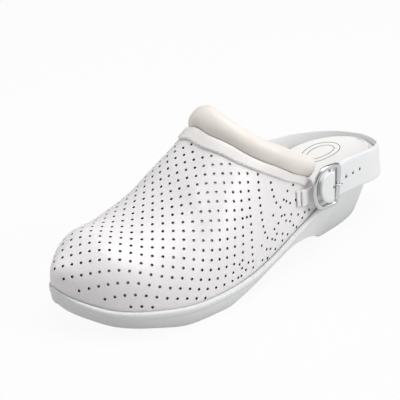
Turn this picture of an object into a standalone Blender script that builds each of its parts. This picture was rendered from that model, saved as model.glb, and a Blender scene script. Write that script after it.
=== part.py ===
"""Perforated leather clog with a padded collar, a buckled heel strap and a one-piece sole. Left shoe.

All sizes are metres. X runs from the heel to the toe, Y to the outer side, which is the wearer's
left, and Z up. The pieces are built with the heel at X = 0 and are then centred on their footprint.
"""
import math

import bmesh
import bpy
from mathutils import Matrix, Vector

# Sole
SOLE_LENGTH = 0.250
BALL_WIDTH = 0.096
RIM_HEIGHT = 0.0130
HEEL_LIFT = 0.0305
TOE_SPRING = 0.0130
ARCH_HEIGHT = 0.0148
TUCK = 0.0125
TREAD_ROUND = 0.0010
BEAD_WIDTH = 0.0030
BEAD_HEIGHT = 0.0045
BEAD_STAND = 0.0016
SEAT_DROP = 0.0014

# Upper and insole
LEATHER = 0.0020
CREST_HEIGHT = 0.0885
SLIP = 0.0003
FEATHER_GAP = 0.0005
INSOLE_HEEL = 0.0041
INSOLE_TOE = 0.0024
INSOLE_DISH = 0.0012

# Collar
ROLL_THICK = 0.0085
ROLL_TALL = 0.0130
ROLL_CREST = 0.0155
ROLL_START = 0.275
ROLL_EASE = 0.15
ROLL_END = 0.55
BAND_THICK = 0.0010
BAND_SHARE = 0.0255
BAND_START = 0.26

# Heel strap
STRAP_RISE = 0.0500
STRAP_STAND = 0.0044
STRAP_THICK = 0.0016
STRAP_LAP = 0.0008
STRAP_LEVEL = 0.256
STRAP_SHOULDER = 0.304
HOLE_RADIUS = 0.0009
HOLE_HEIGHT = 0.0446
PRONG_HOLE = 0.0013

# Buckle
BUCKLE_SHARE = 0.3075
BUCKLE_HEIGHT = 0.0450
BUCKLE_STAND = 0.0028
BUCKLE_LONG = 0.0231
BUCKLE_TALL = 0.0290
BUCKLE_TILT = math.radians(5.3)
BUCKLE_PITCH = math.radians(4.0)
BAR_WIDE = 0.0030
BAR_THICK = 0.0024
PIN_RADIUS = 0.0007
PIN_BACK = 0.0028
PIN_SUNK = 0.0011
PIN_CLEAR = 0.00025
PRONG_RADIUS = 0.0005
REAR_SQUARE = 7.0
FRONT_SQUARE = 2.4
TAB_WIDE = 0.0105
TAB_THICK = 0.0008
TAB_DROP = -0.0015
SLOT_WIDE = 0.0030
SLOT_DEEP = 0.0050

# Tread
CHANNEL_WIDE = 0.004
CHANNEL_DEEP = 0.002
CHANNEL_BORDER = 0.0085
CHANNEL_PLACES = (0.120, 0.180, 0.592, 0.648, 0.704, 0.760)

SOLE_STATIONS = 52


def table(header, *rows):
    """Columns of a small table by the names in its header."""
    return {name: [row[i] for row in rows] for i, name in enumerate(header.split())}


# Sections from heel to toe. medial and lateral are shares of the ball width for the two edges of
# the bead, heel is a share of the heel lift and toe a share of the toe spring for its height.
FOOTPRINT = table(
    "along medial lateral heel toe",
    (0.000, 0.015, 0.015, 1.000, 0.00),
    (0.020, -0.122, 0.145, 0.995, 0.00),
    (0.070, -0.232, 0.240, 0.975, 0.00),
    (0.150, -0.310, 0.308, 0.905, 0.00),
    (0.260, -0.338, 0.346, 0.700, 0.00),
    (0.380, -0.333, 0.376, 0.370, 0.00),
    (0.500, -0.365, 0.425, 0.090, 0.00),
    (0.600, -0.443, 0.472, 0.000, 0.00),
    (0.680, -0.496, 0.494, 0.000, 0.00),
    (0.760, -0.506, 0.482, 0.000, 0.03),
    (0.850, -0.466, 0.407, 0.000, 0.19),
    (0.925, -0.383, 0.275, 0.000, 0.37),
    (0.975, -0.249, 0.105, 0.000, 0.69),
    (1.000, -0.096, -0.096, 0.000, 1.00),
)

# The tread's edge from heel to toe. arch is a share of the arch height, toe of the toe spring, and
# tuck a share of the tuck, by which the wall draws in from the bead to the tread.
TREAD_EDGE = table(
    "along arch toe tuck",
    (0.000, 0.00, 0.00, 1.00),
    (0.050, 0.00, 0.00, 1.00),
    (0.245, 0.00, 0.00, 1.00),
    (0.280, 0.28, 0.00, 0.70),
    (0.320, 0.68, 0.00, 0.36),
    (0.370, 0.95, 0.00, 0.14),
    (0.410, 1.00, 0.00, 0.10),
    (0.460, 0.84, 0.00, 0.12),
    (0.510, 0.62, 0.00, 0.15),
    (0.560, 0.38, 0.00, 0.20),
    (0.610, 0.16, 0.00, 0.26),
    (0.660, 0.00, 0.00, 0.32),
    (0.770, 0.00, 0.00, 0.36),
    (0.850, 0.00, 0.22, 0.38),
    (0.930, 0.00, 0.46, 0.38),
    (0.975, 0.00, 0.78, 0.38),
    (1.000, 0.00, 1.10, 0.38),
)

# Sections of the upper. crest is a share of the crest height above the rim, ridge the crest's place
# as a share of the ball width, and full how square the section is, 2 being an ellipse.
VAMP = table(
    "along crest ridge full",
    (0.240, 1.043, 0.000, 2.10),
    (0.400, 1.043, -0.027, 2.10),
    (0.470, 1.003, -0.054, 2.06),
    (0.530, 0.930, -0.088, 2.05),
    (0.600, 0.773, -0.092, 2.21),
    (0.700, 0.550, -0.100, 2.30),
    (0.800, 0.420, -0.120, 2.35),
    (0.900, 0.373, -0.120, 2.35),
    (0.965, 0.237, -0.110, 2.35),
    (1.000, 0.068, -0.100, 2.30),
)

# The upper's rear edge and topline. turn is the angle round the section up from the sole, the same
# on both sides, and along the share where the upper starts.
TOPLINE = table(
    "turn along",
    (0.00, 0.309),
    (0.10, 0.314),
    (0.25, 0.333),
    (0.42, 0.399),
    (0.56, 0.443),
    (0.70, 0.481),
    (0.91, 0.522),
    (1.18, 0.548),
    (1.36, 0.561),
    (1.571, 0.553),
)

# The heel strap from the heel forward. top and bottom are shares of the strap's rise for its edges,
# and over and under shares of its stand for how far its inner face is out from the bead's outline
# at those edges.
STRAP_LATERAL = table(
    "along top bottom over under",
    (0.000, 0.940, 0.480, 0.068, 0.818),
    (0.010, 0.946, 0.486, 0.068, 0.795),
    (0.050, 1.000, 0.536, 0.114, 0.591),
    (0.100, 1.052, 0.584, 0.136, 0.409),
    (0.160, 1.100, 0.634, 0.136, 0.273),
    (0.220, 1.126, 0.656, 0.136, 0.182),
    (0.258, 1.100, 0.668, 0.114, 0.114),
    (0.271, 1.098, 0.672, 0.114, 0.114),
    (0.278, 1.096, 0.674, 0.295, 0.295),
    (0.286, 1.096, 0.676, 0.750, 0.750),
    (0.296, 1.102, 0.682, 0.977, 0.977),
    (0.318, 1.132, 0.708, 1.000, 1.000),
    (0.342, 1.160, 0.732, 1.000, 1.000),
)
STRAP_MEDIAL = table(
    "along top bottom over under",
    (0.000, 0.940, 0.480, 0.068, 0.818),
    (0.010, 0.944, 0.484, 0.068, 0.795),
    (0.050, 0.968, 0.504, 0.114, 0.591),
    (0.100, 0.984, 0.532, 0.136, 0.409),
    (0.180, 1.008, 0.570, 0.136, 0.273),
    (0.250, 1.016, 0.604, 0.136, 0.136),
    (0.300, 0.988, 0.636, 0.045, 0.136),
    (0.330, 0.936, 0.648, -0.591, -0.455),
    (0.350, 0.924, 0.652, -2.273, -2.273),
    (0.385, 0.940, 0.656, -2.273, -2.273),
)

# Free holes along the strap, as shares of the length. The prong's own hole comes from the buckle.
STRAP_HOLES = (0.294, 0.226, 0.197, 0.167)

# Centre line of the tab on the quarter from its front end, up as a share of the buckle's height.
TAB_LINE = table(
    "along up",
    (0.392, 0.951),
    (0.378, 0.933),
    (0.364, 0.922),
    (0.350, 0.918),
    (0.338, 0.924),
)

# The tab between the quarter and the buckle's bar, on its way there and back. back is a share of
# the bar's place and out a share of the buckle's stand.
TAB_FREE = table(
    "back out",
    (-1.286, -1.429),
    (0.071, -1.107),
    (0.143, -0.500),
    (-1.179, -0.964),
)

# The prong from its loop through the strap and over the frame. back is a share of the buckle's
# length and out a share of its thickness.
PRONG_LINE = table(
    "back out",
    (0.199, -1.208),
    (0.273, -1.208),
    (0.316, -1.000),
    (0.329, -0.500),
    (0.333, 0.167),
    (0.355, 0.688),
    (0.411, 0.896),
    (0.485, 0.875),
    (0.550, 0.708),
)
PRONG_CROSSING = 3


def turn_of(share):
    """Angle that crowds sections towards heel and toe, so that both ends come out round."""
    return math.acos(1.0 - 2.0 * min(max(share, 0.0), 1.0))


def share_of(turn):
    """Share of the length at such an angle."""
    return (1.0 - math.cos(turn)) / 2.0


def smooth(keys, values):
    """A function that runs smoothly through values at rising keys.

    Values that stay level or turn back between two keys do not overshoot there.
    """
    last = len(values) - 1
    slopes = [(values[i + 1] - values[i]) / (keys[i + 1] - keys[i]) for i in range(last)]
    tangents = [slopes[0]]
    for i in range(1, last):
        before, after = slopes[i - 1], slopes[i]
        if before * after <= 0.0:
            tangents.append(0.0)
            continue
        near, far = keys[i] - keys[i - 1], keys[i + 1] - keys[i]
        mean = (before * far + after * near) / (near + far)
        limit = 3.0 * min(abs(before), abs(after))
        tangents.append(math.copysign(min(abs(mean), limit), before))
    tangents.append(slopes[-1])

    def value(key):
        key = min(max(key, keys[0]), keys[-1])
        i = 0
        while i < last - 1 and key > keys[i + 1]:
            i += 1
        step = keys[i + 1] - keys[i]
        u = (key - keys[i]) / step
        start = (1.0 + 2.0 * u) * (1.0 - u) ** 2 * values[i] + u * (1.0 - u) ** 2 * step * tangents[i]
        end = u * u * (3.0 - 2.0 * u) * values[i + 1] + u * u * (u - 1.0) * step * tangents[i + 1]
        return start + end

    return value


def along_shoe(columns, name):
    """A function of the share along the shoe that runs smoothly through one column of a table."""
    curve = smooth([turn_of(share) for share in columns["along"]], columns[name])
    return lambda share: curve(turn_of(share))


medial_edge = along_shoe(FOOTPRINT, "medial")
lateral_edge = along_shoe(FOOTPRINT, "lateral")
heel_rise = along_shoe(FOOTPRINT, "heel")
toe_rise = along_shoe(FOOTPRINT, "toe")
tread_arch = along_shoe(TREAD_EDGE, "arch")
tread_toe = along_shoe(TREAD_EDGE, "toe")
tread_tuck = along_shoe(TREAD_EDGE, "tuck")
crest_rise = along_shoe(VAMP, "crest")
crest_ridge = along_shoe(VAMP, "ridge")
section_full = along_shoe(VAMP, "full")
topline_share = smooth(TOPLINE["turn"], TOPLINE["along"])
strap_sides = {
    side: {name: along_shoe(columns, name) for name in ("top", "bottom", "over", "under")}
    for side, columns in ((1, STRAP_LATERAL), (-1, STRAP_MEDIAL))
}


def rim_height(share):
    """Height of the bead's top."""
    return RIM_HEIGHT + HEEL_LIFT * heel_rise(share) + TOE_SPRING * toe_rise(share)


def tread_height(share):
    """Height of the tread's edge above the ground."""
    return ARCH_HEIGHT * tread_arch(share) + TOE_SPRING * tread_toe(share)


def footprint(share, side, inset):
    """Point of the sole's outline, moved inwards by an inset. side is 1 lateral and -1 medial."""
    edge = lateral_edge if side > 0 else medial_edge
    turn = turn_of(share)
    low, high = max(turn - 0.01, 0.0), min(turn + 0.01, math.pi)
    run = SOLE_LENGTH * (share_of(high) - share_of(low))
    rise = BALL_WIDTH * (edge(share_of(high)) - edge(share_of(low)))
    size = math.hypot(run, rise)
    outward = (-rise * side / size, run * side / size)
    return (SOLE_LENGTH * share - outward[0] * inset, BALL_WIDTH * edge(share) - outward[1] * inset)


FEATHER_INSET = BEAD_WIDTH + FEATHER_GAP


def upper_point(share, turn):
    """Point of the upper's outer face. turn goes from 0 at the lateral sole to pi at the medial."""
    lateral = footprint(share, 1, FEATHER_INSET)
    medial = footprint(share, -1, FEATHER_INSET)
    crest = ((lateral[0] + medial[0]) / 2.0, BALL_WIDTH * crest_ridge(share))
    full = section_full(share)
    reach, rise = abs(math.cos(turn)), math.sin(turn)
    swell = (reach ** full + abs(rise) ** full) ** (-1.0 / full)
    foot = lateral if math.cos(turn) > 0.0 else medial
    ridge = min(max(crest[1], medial[1]), lateral[1])
    seat = rim_height(share) - SEAT_DROP + SLIP
    return Vector((
        crest[0] + (foot[0] - crest[0]) * reach * swell,
        ridge + (foot[1] - ridge) * reach * swell,
        seat + CREST_HEIGHT * crest_rise(share) * rise * swell,
    ))


def surface_normal(share, turn):
    """Outward normal of the upper's outer face."""
    station = turn_of(share)
    low, high = max(station - 0.01, 0.0), min(station + 0.01, math.pi)
    down, up = max(turn - 0.01, 0.0), min(turn + 0.01, math.pi)
    forward = upper_point(share_of(high), turn) - upper_point(share_of(low), turn)
    round_foot = upper_point(share, up) - upper_point(share, down)
    return round_foot.cross(forward).normalized()


def topline_at(turn):
    """Share where the upper starts at a turn, the same on both sides."""
    return topline_share(min(turn, math.pi - turn))


def upper_stand(share, side, height):
    """How far the upper's outer face stands out from the bead's outline at a height."""
    low, high = 0.0, math.pi / 2.0
    for _ in range(24):
        turn = (low + high) / 2.0
        point = upper_point(share, turn if side > 0 else math.pi - turn)
        low, high = (turn, high) if point.z < height else (low, turn)
    edge = footprint(share, side, 0.0)
    return -math.hypot(point.x - edge[0], point.y - edge[1])


def wall_point(share, side, stand, height):
    """Point beside the shoe, at a stand out from the bead's outline."""
    x, y = footprint(share, side, -stand)
    return Vector((x, y, height))


def finish(name, colour, roughness, metallic=0.0):
    """A material of one colour."""
    material = bpy.data.materials.new(name)
    material.use_nodes = True
    shader = material.node_tree.nodes["Principled BSDF"]
    shader.inputs["Base Color"].default_value = (*colour, 1.0)
    shader.inputs["Roughness"].default_value = roughness
    shader.inputs["Metallic"].default_value = metallic
    material.diffuse_color = (*colour, 1.0)
    return material


def solid(name, points, faces, material, flat=False):
    """An object from points and faces, with its faces turned outwards and shaded smoothly or flat."""
    mesh = bpy.data.meshes.new(name)
    mesh.from_pydata([tuple(point) for point in points], [], faces)
    shell = bmesh.new()
    shell.from_mesh(mesh)
    bmesh.ops.recalc_face_normals(shell, faces=shell.faces)
    shell.to_mesh(mesh)
    shell.free()
    if flat:
        mesh.shade_flat()
    else:
        mesh.shade_smooth()
        mesh.set_sharp_from_angle(angle=math.radians(38.0))
    mesh.materials.append(material)
    piece = bpy.data.objects.new(name, mesh)
    bpy.context.scene.collection.objects.link(piece)
    return piece


def cut(piece, cutter, operation="DIFFERENCE"):
    """Cuts one solid by another, or joins them, and hides the other."""
    cutter.hide_render = True
    cutter.display_type = "WIRE"
    boolean = piece.modifiers.new(cutter.name, "BOOLEAN")
    boolean.operation = operation
    boolean.solver = "EXACT"
    boolean.object = cutter


def slab(outer, inner, folds=False):
    """Points and faces of a sheet between two grids of points.

    With folds the last row is closed on itself, one half against the other.
    """
    rows, columns = len(outer), len(outer[0])
    points = [point for grid in (outer, inner) for row in grid for point in row]

    def at(layer, row, column):
        return (layer * rows + row) * columns + column

    faces = []
    for layer in (0, 1):
        for row in range(rows - 1):
            for column in range(columns - 1):
                faces.append((
                    at(layer, row, column), at(layer, row, column + 1),
                    at(layer, row + 1, column + 1), at(layer, row + 1, column),
                ))
    ends = [0] if folds else [0, rows - 1]
    for row in ends:
        for column in range(columns - 1):
            faces.append((at(0, row, column), at(0, row, column + 1),
                          at(1, row, column + 1), at(1, row, column)))
    for column in (0, columns - 1):
        for row in range(rows - 1):
            faces.append((at(0, row, column), at(0, row + 1, column),
                          at(1, row + 1, column), at(1, row, column)))
    if folds:
        row, last = rows - 1, columns - 1
        for layer in (0, 1):
            for column in range(last // 2):
                ring = [at(layer, row, column), at(layer, row, column + 1),
                        at(layer, row, last - column - 1), at(layer, row, last - column)]
                faces.append(tuple(dict.fromkeys(ring)))
        faces.append((at(0, row, 0), at(0, row, last), at(1, row, last), at(1, row, 0)))
    return points, faces


def tube(rings, closed=False):
    """Points and faces of a swept form, closed on itself or with flat ends."""
    size = len(rings[0])
    points = [point for ring in rings for point in ring]
    faces = []
    for i in range(len(rings) if closed else len(rings) - 1):
        j = (i + 1) % len(rings)
        for k in range(size):
            m = (k + 1) % size
            faces.append((i * size + k, i * size + m, j * size + m, j * size + k))
    if not closed:
        faces.append(tuple(range(size)))
        faces.append(tuple(range((len(rings) - 1) * size, len(rings) * size)))
    return points, faces


def outline_ring(inset, height):
    """Closed ring round the shoe, up the lateral side and back the medial side.

    inset and height are functions of the share.
    """
    ring = []
    for side, stations in ((1, range(SOLE_STATIONS + 1)), (-1, range(SOLE_STATIONS - 1, 0, -1))):
        for i in stations:
            share = share_of(math.pi * i / SOLE_STATIONS)
            x, y = footprint(share, side, inset(share))
            ring.append(Vector((x, y, height(share))))
    return ring


def stacked(rings, top_dip=None, columns=4):
    """Points and faces of rings stacked upwards and closed by strips across the shoe.

    top_dip is a function of the share that lowers the middle of the top.
    """
    points, faces = tube(rings)
    faces = faces[:-2]
    size = len(rings[0])
    half = size // 2
    for level, dip in ((0, None), (len(rings) - 1, top_dip)):
        base = level * size
        strips = [[base] * (columns + 1)]
        for i in range(1, half):
            left, right = base + i, base + size - i
            strip = [left]
            for k in range(1, columns):
                share = k / columns
                point = points[left].lerp(points[right], share)
                if dip:
                    point.z -= dip(share_of(math.pi * i / half)) * (1.0 - (2.0 * share - 1.0) ** 2)
                strip.append(len(points))
                points.append(point)
            strips.append(strip + [right])
        strips.append([base + half] * (columns + 1))
        for before, after in zip(strips, strips[1:]):
            for k in range(columns):
                corners = (before[k], before[k + 1], after[k + 1], after[k])
                faces.append(tuple(dict.fromkeys(corners)))
    return points, faces


def make_sole(material):
    """One-piece sole with a lasting bead, an arch, a toe spring and tread channels."""
    def wall_inset(up):
        return lambda share: BEAD_STAND + (TUCK * tread_tuck(share) - BEAD_STAND) * (1.0 - up) ** 1.2

    def wall_height(up):
        def height(share):
            low, high = tread_height(share), rim_height(share) - BEAD_HEIGHT
            return low + (high - low) * up
        return height

    def level(drop):
        return lambda share: rim_height(share) - drop

    rings = [
        outline_ring(lambda share: TUCK * tread_tuck(share) + TREAD_ROUND, tread_height),
        outline_ring(wall_inset(0.08), wall_height(0.10)),
        outline_ring(wall_inset(0.40), wall_height(0.40)),
        outline_ring(wall_inset(0.75), wall_height(0.75)),
        outline_ring(lambda share: BEAD_STAND, level(BEAD_HEIGHT)),
        outline_ring(lambda share: 0.1 * BEAD_WIDTH, level(0.72 * BEAD_HEIGHT)),
        outline_ring(lambda share: 0.0, level(0.40 * BEAD_HEIGHT)),
        outline_ring(lambda share: 0.2 * BEAD_WIDTH, level(0.08 * BEAD_HEIGHT)),
        outline_ring(lambda share: 0.5 * BEAD_WIDTH, level(0.0)),
        outline_ring(lambda share: BEAD_WIDTH, level(0.08 * BEAD_HEIGHT)),
        outline_ring(lambda share: BEAD_WIDTH, level(SEAT_DROP)),
    ]
    sole = solid("sole", *stacked(rings), material)
    channels = ([], [])
    for share in CHANNEL_PLACES:
        inner = TUCK * tread_tuck(share) + CHANNEL_BORDER
        low, high = footprint(share, -1, inner)[1], footprint(share, 1, inner)[1]
        first = len(channels[0])
        for z in (-CHANNEL_DEEP, CHANNEL_DEEP):
            for dx, y in ((-0.5, low), (0.5, low), (0.5, high), (-0.5, high)):
                channels[0].append(Vector((SOLE_LENGTH * share + dx * CHANNEL_WIDE, y, z)))
        for face in ((0, 1, 2, 3), (4, 5, 6, 7), (0, 1, 5, 4), (1, 2, 6, 5), (2, 3, 7, 6), (3, 0, 4, 7)):
            channels[1].append(tuple(first + corner for corner in face))
    cutter = solid("tread_channels", *channels, material, flat=True)
    cut(sole, cutter)
    return [sole, cutter]


def make_insole(material):
    """Insole lying on the seat, thicker and dished at the heel."""
    inside = smooth([turn_of(0.0), turn_of(0.26), turn_of(0.31), turn_of(1.0)],
                    [BEAD_WIDTH, BEAD_WIDTH, FEATHER_INSET + LEATHER, FEATHER_INSET + LEATHER + 2.0 * SLIP])
    thick = smooth([turn_of(0.0), turn_of(0.40), turn_of(0.62), turn_of(1.0)],
                   [INSOLE_HEEL, INSOLE_HEEL, INSOLE_TOE, INSOLE_TOE])

    def ring(step, up):
        return outline_ring(
            lambda share: inside(turn_of(share)) + SLIP + step * thick(turn_of(share)),
            lambda share: rim_height(share) - SEAT_DROP + SLIP + up * thick(turn_of(share)),
        )

    def dip(share):
        return INSOLE_DISH if share < 0.6 else 0.0

    rings = [ring(0.0, 0.0), ring(0.05, 0.45), ring(0.22, 0.80), ring(0.585, 1.0)]
    return solid("insole", *stacked(rings, dip), material)


def make_upper(material):
    """Hollow vamp and quarters with a wall of leather, open at the collar, heel and underneath."""
    rows, columns = 28, 36
    outer, inner = [], []
    for i in range(rows + 1):
        outer.append([])
        inner.append([])
        for j in range(columns + 1):
            turn = math.pi * (j / columns)
            start = turn_of(topline_at(turn))
            share = share_of(start + (math.pi - 0.03 - start) * i / rows)
            point = upper_point(share, turn)
            outer[-1].append(point)
            inner[-1].append(point - surface_normal(share, turn) * LEATHER)
    return solid("upper", *slab(outer, inner, folds=True), material)


def topline_frame(turn):
    """Point on the topline with the tangent along it, the upper's normal and the way up from it."""
    point = upper_point(topline_at(turn), turn)
    normal = surface_normal(topline_at(turn), turn)
    ahead = upper_point(topline_at(turn + ROLL_EASE), turn + ROLL_EASE)
    behind = upper_point(topline_at(turn - ROLL_EASE), turn - ROLL_EASE)
    tangent = (ahead - behind).normalized()
    upward = tangent.cross(normal).normalized()
    if upward.z < 0.0:
        upward = -upward
    return point, normal, upward


def make_collar(material):
    """Padded roll standing on the topline from one quarter over the instep to the other."""
    stations, sides = 40, 12
    rings = []
    for i in range(stations + 1):
        share = i / stations
        point, normal, upward = topline_frame(ROLL_START + (math.pi - 2.0 * ROLL_START) * share)
        near = min(share, 1.0 - share) * stations
        full = min(1.0, ROLL_END + (1.0 - ROLL_END) * near / 2.0)
        tall = full * (ROLL_TALL + (ROLL_CREST - ROLL_TALL) * math.sin(math.pi * share) ** 6)
        centre = point - normal * LEATHER / 2.0 + upward * (tall / 2.0 + SLIP)
        ring = []
        for k in range(sides):
            angle = 2.0 * math.pi * k / sides
            across = math.copysign(abs(math.cos(angle)) ** 0.9, math.cos(angle)) * ROLL_THICK * full / 2.0
            along = math.copysign(abs(math.sin(angle)) ** 0.9, math.sin(angle)) * tall / 2.0
            ring.append(centre + normal * across + upward * along)
        rings.append(ring)
    return solid("collar", *tube(rings), material)


def make_collar_band(material):
    """Smooth band sewn on below the roll."""
    stations, columns = 40, 3
    outer, inner = [], []
    for i in range(stations + 1):
        turn = BAND_START + (math.pi - 2.0 * BAND_START) * i / stations
        outer.append([])
        inner.append([])
        for j in range(columns + 1):
            share = topline_at(turn) + 0.001 + BAND_SHARE * j / columns
            point, normal = upper_point(share, turn), surface_normal(share, turn)
            rise = BAND_THICK * (0.5 if j in (0, columns) else 1.0)
            outer[-1].append(point + normal * (SLIP + rise))
            inner[-1].append(point + normal * SLIP)
    return solid("collar_band", *slab(outer, inner), material)


def strap_station(side, station, narrow=1.0):
    """Outer and inner row of points across the strap at a station given as a turn from the heel."""
    share = share_of(station)
    sides = strap_sides[side]
    top, bottom = (STRAP_RISE * sides[name](share) for name in ("top", "bottom"))
    over, under = (STRAP_STAND * sides[name](share) for name in ("over", "under"))
    middle, half = (top + bottom) / 2.0, (top - bottom) / 2.0 * narrow
    outer, inner = [], []
    columns = 4
    for k in range(columns + 1):
        up = k / columns
        height = middle + half * (2.0 * up - 1.0)
        whole = (height - bottom) / (top - bottom)
        stand = under + (over - under) * whole
        if side < 0 and share > 0.30:
            stand = max(stand, upper_stand(share, side, height) + STRAP_LAP)
        edge = 0.25 * STRAP_THICK * (2.0 * up - 1.0) if k in (0, columns) else 0.0
        inner.append(wall_point(share, side, stand, height))
        outer.append(wall_point(share, side, stand + STRAP_THICK, height - edge))
    return outer, inner


def make_heel_strap(material):
    """Heel strap from the medial quarter round the heel to its rounded end in the buckle."""
    medial_end, tip = turn_of(STRAP_MEDIAL["along"][-1]), turn_of(STRAP_LATERAL["along"][-1])
    level, shoulder = turn_of(STRAP_LEVEL), turn_of(STRAP_SHOULDER)
    stations = [-medial_end + (medial_end + level) * i / 44 for i in range(44)]
    stations += [level + (shoulder - level) * i / 10 for i in range(11)]
    widths = [1.0] * len(stations)
    for angle in (15.0, 30.0, 45.0, 58.0, 70.0, 80.0):
        stations.append(shoulder + (tip - shoulder) * math.sin(math.radians(angle)))
        widths.append(math.cos(math.radians(angle)) ** 0.85)
    outer, inner = [], []
    for station, narrow in zip(stations, widths):
        rows = strap_station(1 if station >= 0.0 else -1, abs(station), narrow)
        outer.append(rows[0])
        inner.append(rows[1])
    return solid("heel_strap", *slab(outer, inner), material)


def buckle_matrix():
    """Frame of the buckle: x towards the heel along it, y up across the strap, z outwards."""
    behind = footprint(BUCKLE_SHARE - 0.03, 1, 0.0)
    ahead = footprint(BUCKLE_SHARE + 0.03, 1, 0.0)
    rearward = Vector((behind[0] - ahead[0], behind[1] - ahead[1], 0.0)).normalized()
    upward = Vector((0.0, 0.0, 1.0))
    axes = Matrix((rearward, upward, rearward.cross(upward))).transposed().to_4x4()
    place = Matrix.Translation(wall_point(BUCKLE_SHARE, 1, BUCKLE_STAND, BUCKLE_HEIGHT))
    tilt = Matrix.Rotation(-BUCKLE_TILT, 4, "Y") @ Matrix.Rotation(-BUCKLE_PITCH, 4, "Z")
    return place @ axes @ tilt


def round_ring(centre, first, second, wide, thick, sides):
    """Elliptic ring of points about a centre, spanned by two directions."""
    ring = []
    for k in range(sides):
        angle = 2.0 * math.pi * k / sides
        ring.append(centre + first * (wide / 2.0 * math.cos(angle)) + second * (thick / 2.0 * math.sin(angle)))
    return ring


def make_buckle_frame(material):
    """Frame straight at the rear and rounded in front, with a bar across it."""
    matrix = buckle_matrix()
    half_long, half_tall = (BUCKLE_LONG - BAR_WIDE) / 2.0, (BUCKLE_TALL - BAR_WIDE) / 2.0
    count = 40
    path = []
    for i in range(count):
        angle = 2.0 * math.pi * (i + 0.5) / count
        across, up = math.cos(angle), math.sin(angle)
        full = REAR_SQUARE if across > 0.0 else FRONT_SQUARE
        reach = (abs(across / half_long) ** full + abs(up / half_tall) ** full) ** (-1.0 / full)
        path.append(Vector((reach * across, reach * up, 0.0)))
    outward = Vector((0.0, 0.0, 1.0))
    rings = []
    for i, point in enumerate(path):
        along = (path[(i + 1) % count] - path[i - 1]).normalized()
        ring = round_ring(point, along.cross(outward), outward, BAR_WIDE, BAR_THICK, 8)
        rings.append([matrix @ corner for corner in ring])
    frame = solid("buckle_frame", *tube(rings, closed=True), material)
    pin = []
    for up in (-half_tall, half_tall):
        centre = Vector((PIN_BACK, up, -PIN_SUNK))
        ring = round_ring(centre, Vector((1.0, 0.0, 0.0)), outward, 2.0 * PIN_RADIUS, 2.0 * PIN_RADIUS, 12)
        pin.append([matrix @ corner for corner in ring])
    bar = solid("buckle_bar", *tube(pin), material)
    cut(frame, bar, "UNION")
    return [frame, bar]


def swept(path, radius, sides, matrix):
    """Rings of a round bar swept along points in the plane y = 0 of a frame."""
    level = Vector((0.0, 1.0, 0.0))
    rings = []
    for i, point in enumerate(path):
        along = (path[min(i + 1, len(path) - 1)] - path[max(i - 1, 0)]).normalized()
        ring = round_ring(point, along.cross(level), level, 2.0 * radius, 2.0 * radius, sides)
        rings.append([matrix @ corner for corner in ring])
    return rings


def prong_line():
    """Points of the prong from its loop to its tip in the buckle's frame."""
    return [Vector((BUCKLE_LONG * back, 0.0, BAR_THICK * out))
            for back, out in zip(PRONG_LINE["back"], PRONG_LINE["out"])]


def make_buckle_prong(material):
    """Prong looped round the bar, up through the strap's hole and over the frame's rear side."""
    reach = PIN_RADIUS + PIN_CLEAR + PRONG_RADIUS
    path = []
    for i in range(13):
        angle = math.radians(-340.0 + 250.0 * i / 12)
        path.append(Vector((PIN_BACK + reach * math.cos(angle), 0.0, -PIN_SUNK + reach * math.sin(angle))))
    path += prong_line()
    return solid("buckle_prong", *tube(swept(path, PRONG_RADIUS, 8, buckle_matrix())), material)


def quarter_point(share, height, lift):
    """Point on the lateral quarter at a height, lifted off its outer face."""
    low, high = 0.0, math.pi / 2.0
    for _ in range(24):
        turn = (low + high) / 2.0
        low, high = (turn, high) if upper_point(share, turn).z < height else (low, turn)
    return upper_point(share, turn) + surface_normal(share, turn) * lift


def make_buckle_tab(material):
    """Tab folded round the buckle's bar, both ends lying on the lateral quarter."""
    matrix = buckle_matrix()
    near = SLIP + TAB_THICK / 2.0
    far = near + TAB_THICK + SLIP
    wrap = PIN_RADIUS + PIN_CLEAR + TAB_THICK / 2.0
    line = [(share, BUCKLE_HEIGHT * up) for share, up in zip(TAB_LINE["along"], TAB_LINE["up"])]
    loose = [(PIN_BACK * back, BUCKLE_STAND * out) for back, out in zip(TAB_FREE["back"], TAB_FREE["out"])]
    spread = [TAB_WIDE * (k / 4.0 - 0.5) for k in range(5)]

    def on_quarter(share, height, lift):
        return [quarter_point(share, height + across, lift) for across in spread]

    def free(x, z):
        return [matrix @ Vector((x, TAB_DROP + across, z)) for across in spread]

    rows = [on_quarter(share, height, near) for share, height in line]
    rows += [free(x, z) for x, z in loose[:2]]
    for i in range(9):
        angle = math.radians(-90.0 + 180.0 * i / 8)
        rows.append(free(PIN_BACK + wrap * math.cos(angle), -PIN_SUNK + wrap * math.sin(angle)))
    rows += [free(x, z) for x, z in loose[2:]]
    rows += [on_quarter(share, height, far) for share, height in reversed(line[1:])]
    outer, inner = [], []
    for i, row in enumerate(rows):
        before, after = rows[max(i - 1, 0)], rows[min(i + 1, len(rows) - 1)]
        outer.append([])
        inner.append([])
        for k, point in enumerate(row):
            across = row[min(k + 1, 4)] - row[max(k - 1, 0)]
            side = (after[k] - before[k]).cross(across).normalized() * (TAB_THICK / 2.0)
            outer[-1].append(point + side)
            inner[-1].append(point - side)
    tab = solid("buckle_tab", *slab(outer, inner), material)
    slot = []
    for x in (0.0, 2.0 * PIN_BACK):
        slot.append([matrix @ Vector((x, y, z)) for y, z in (
            (-SLOT_WIDE / 2.0, -SLOT_DEEP), (SLOT_WIDE / 2.0, -SLOT_DEEP),
            (SLOT_WIDE / 2.0, SLOT_DEEP), (-SLOT_WIDE / 2.0, SLOT_DEEP))])
    cutter = solid("tab_slot", *tube(slot), material, flat=True)
    cut(tab, cutter)
    return [tab, cutter]


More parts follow.
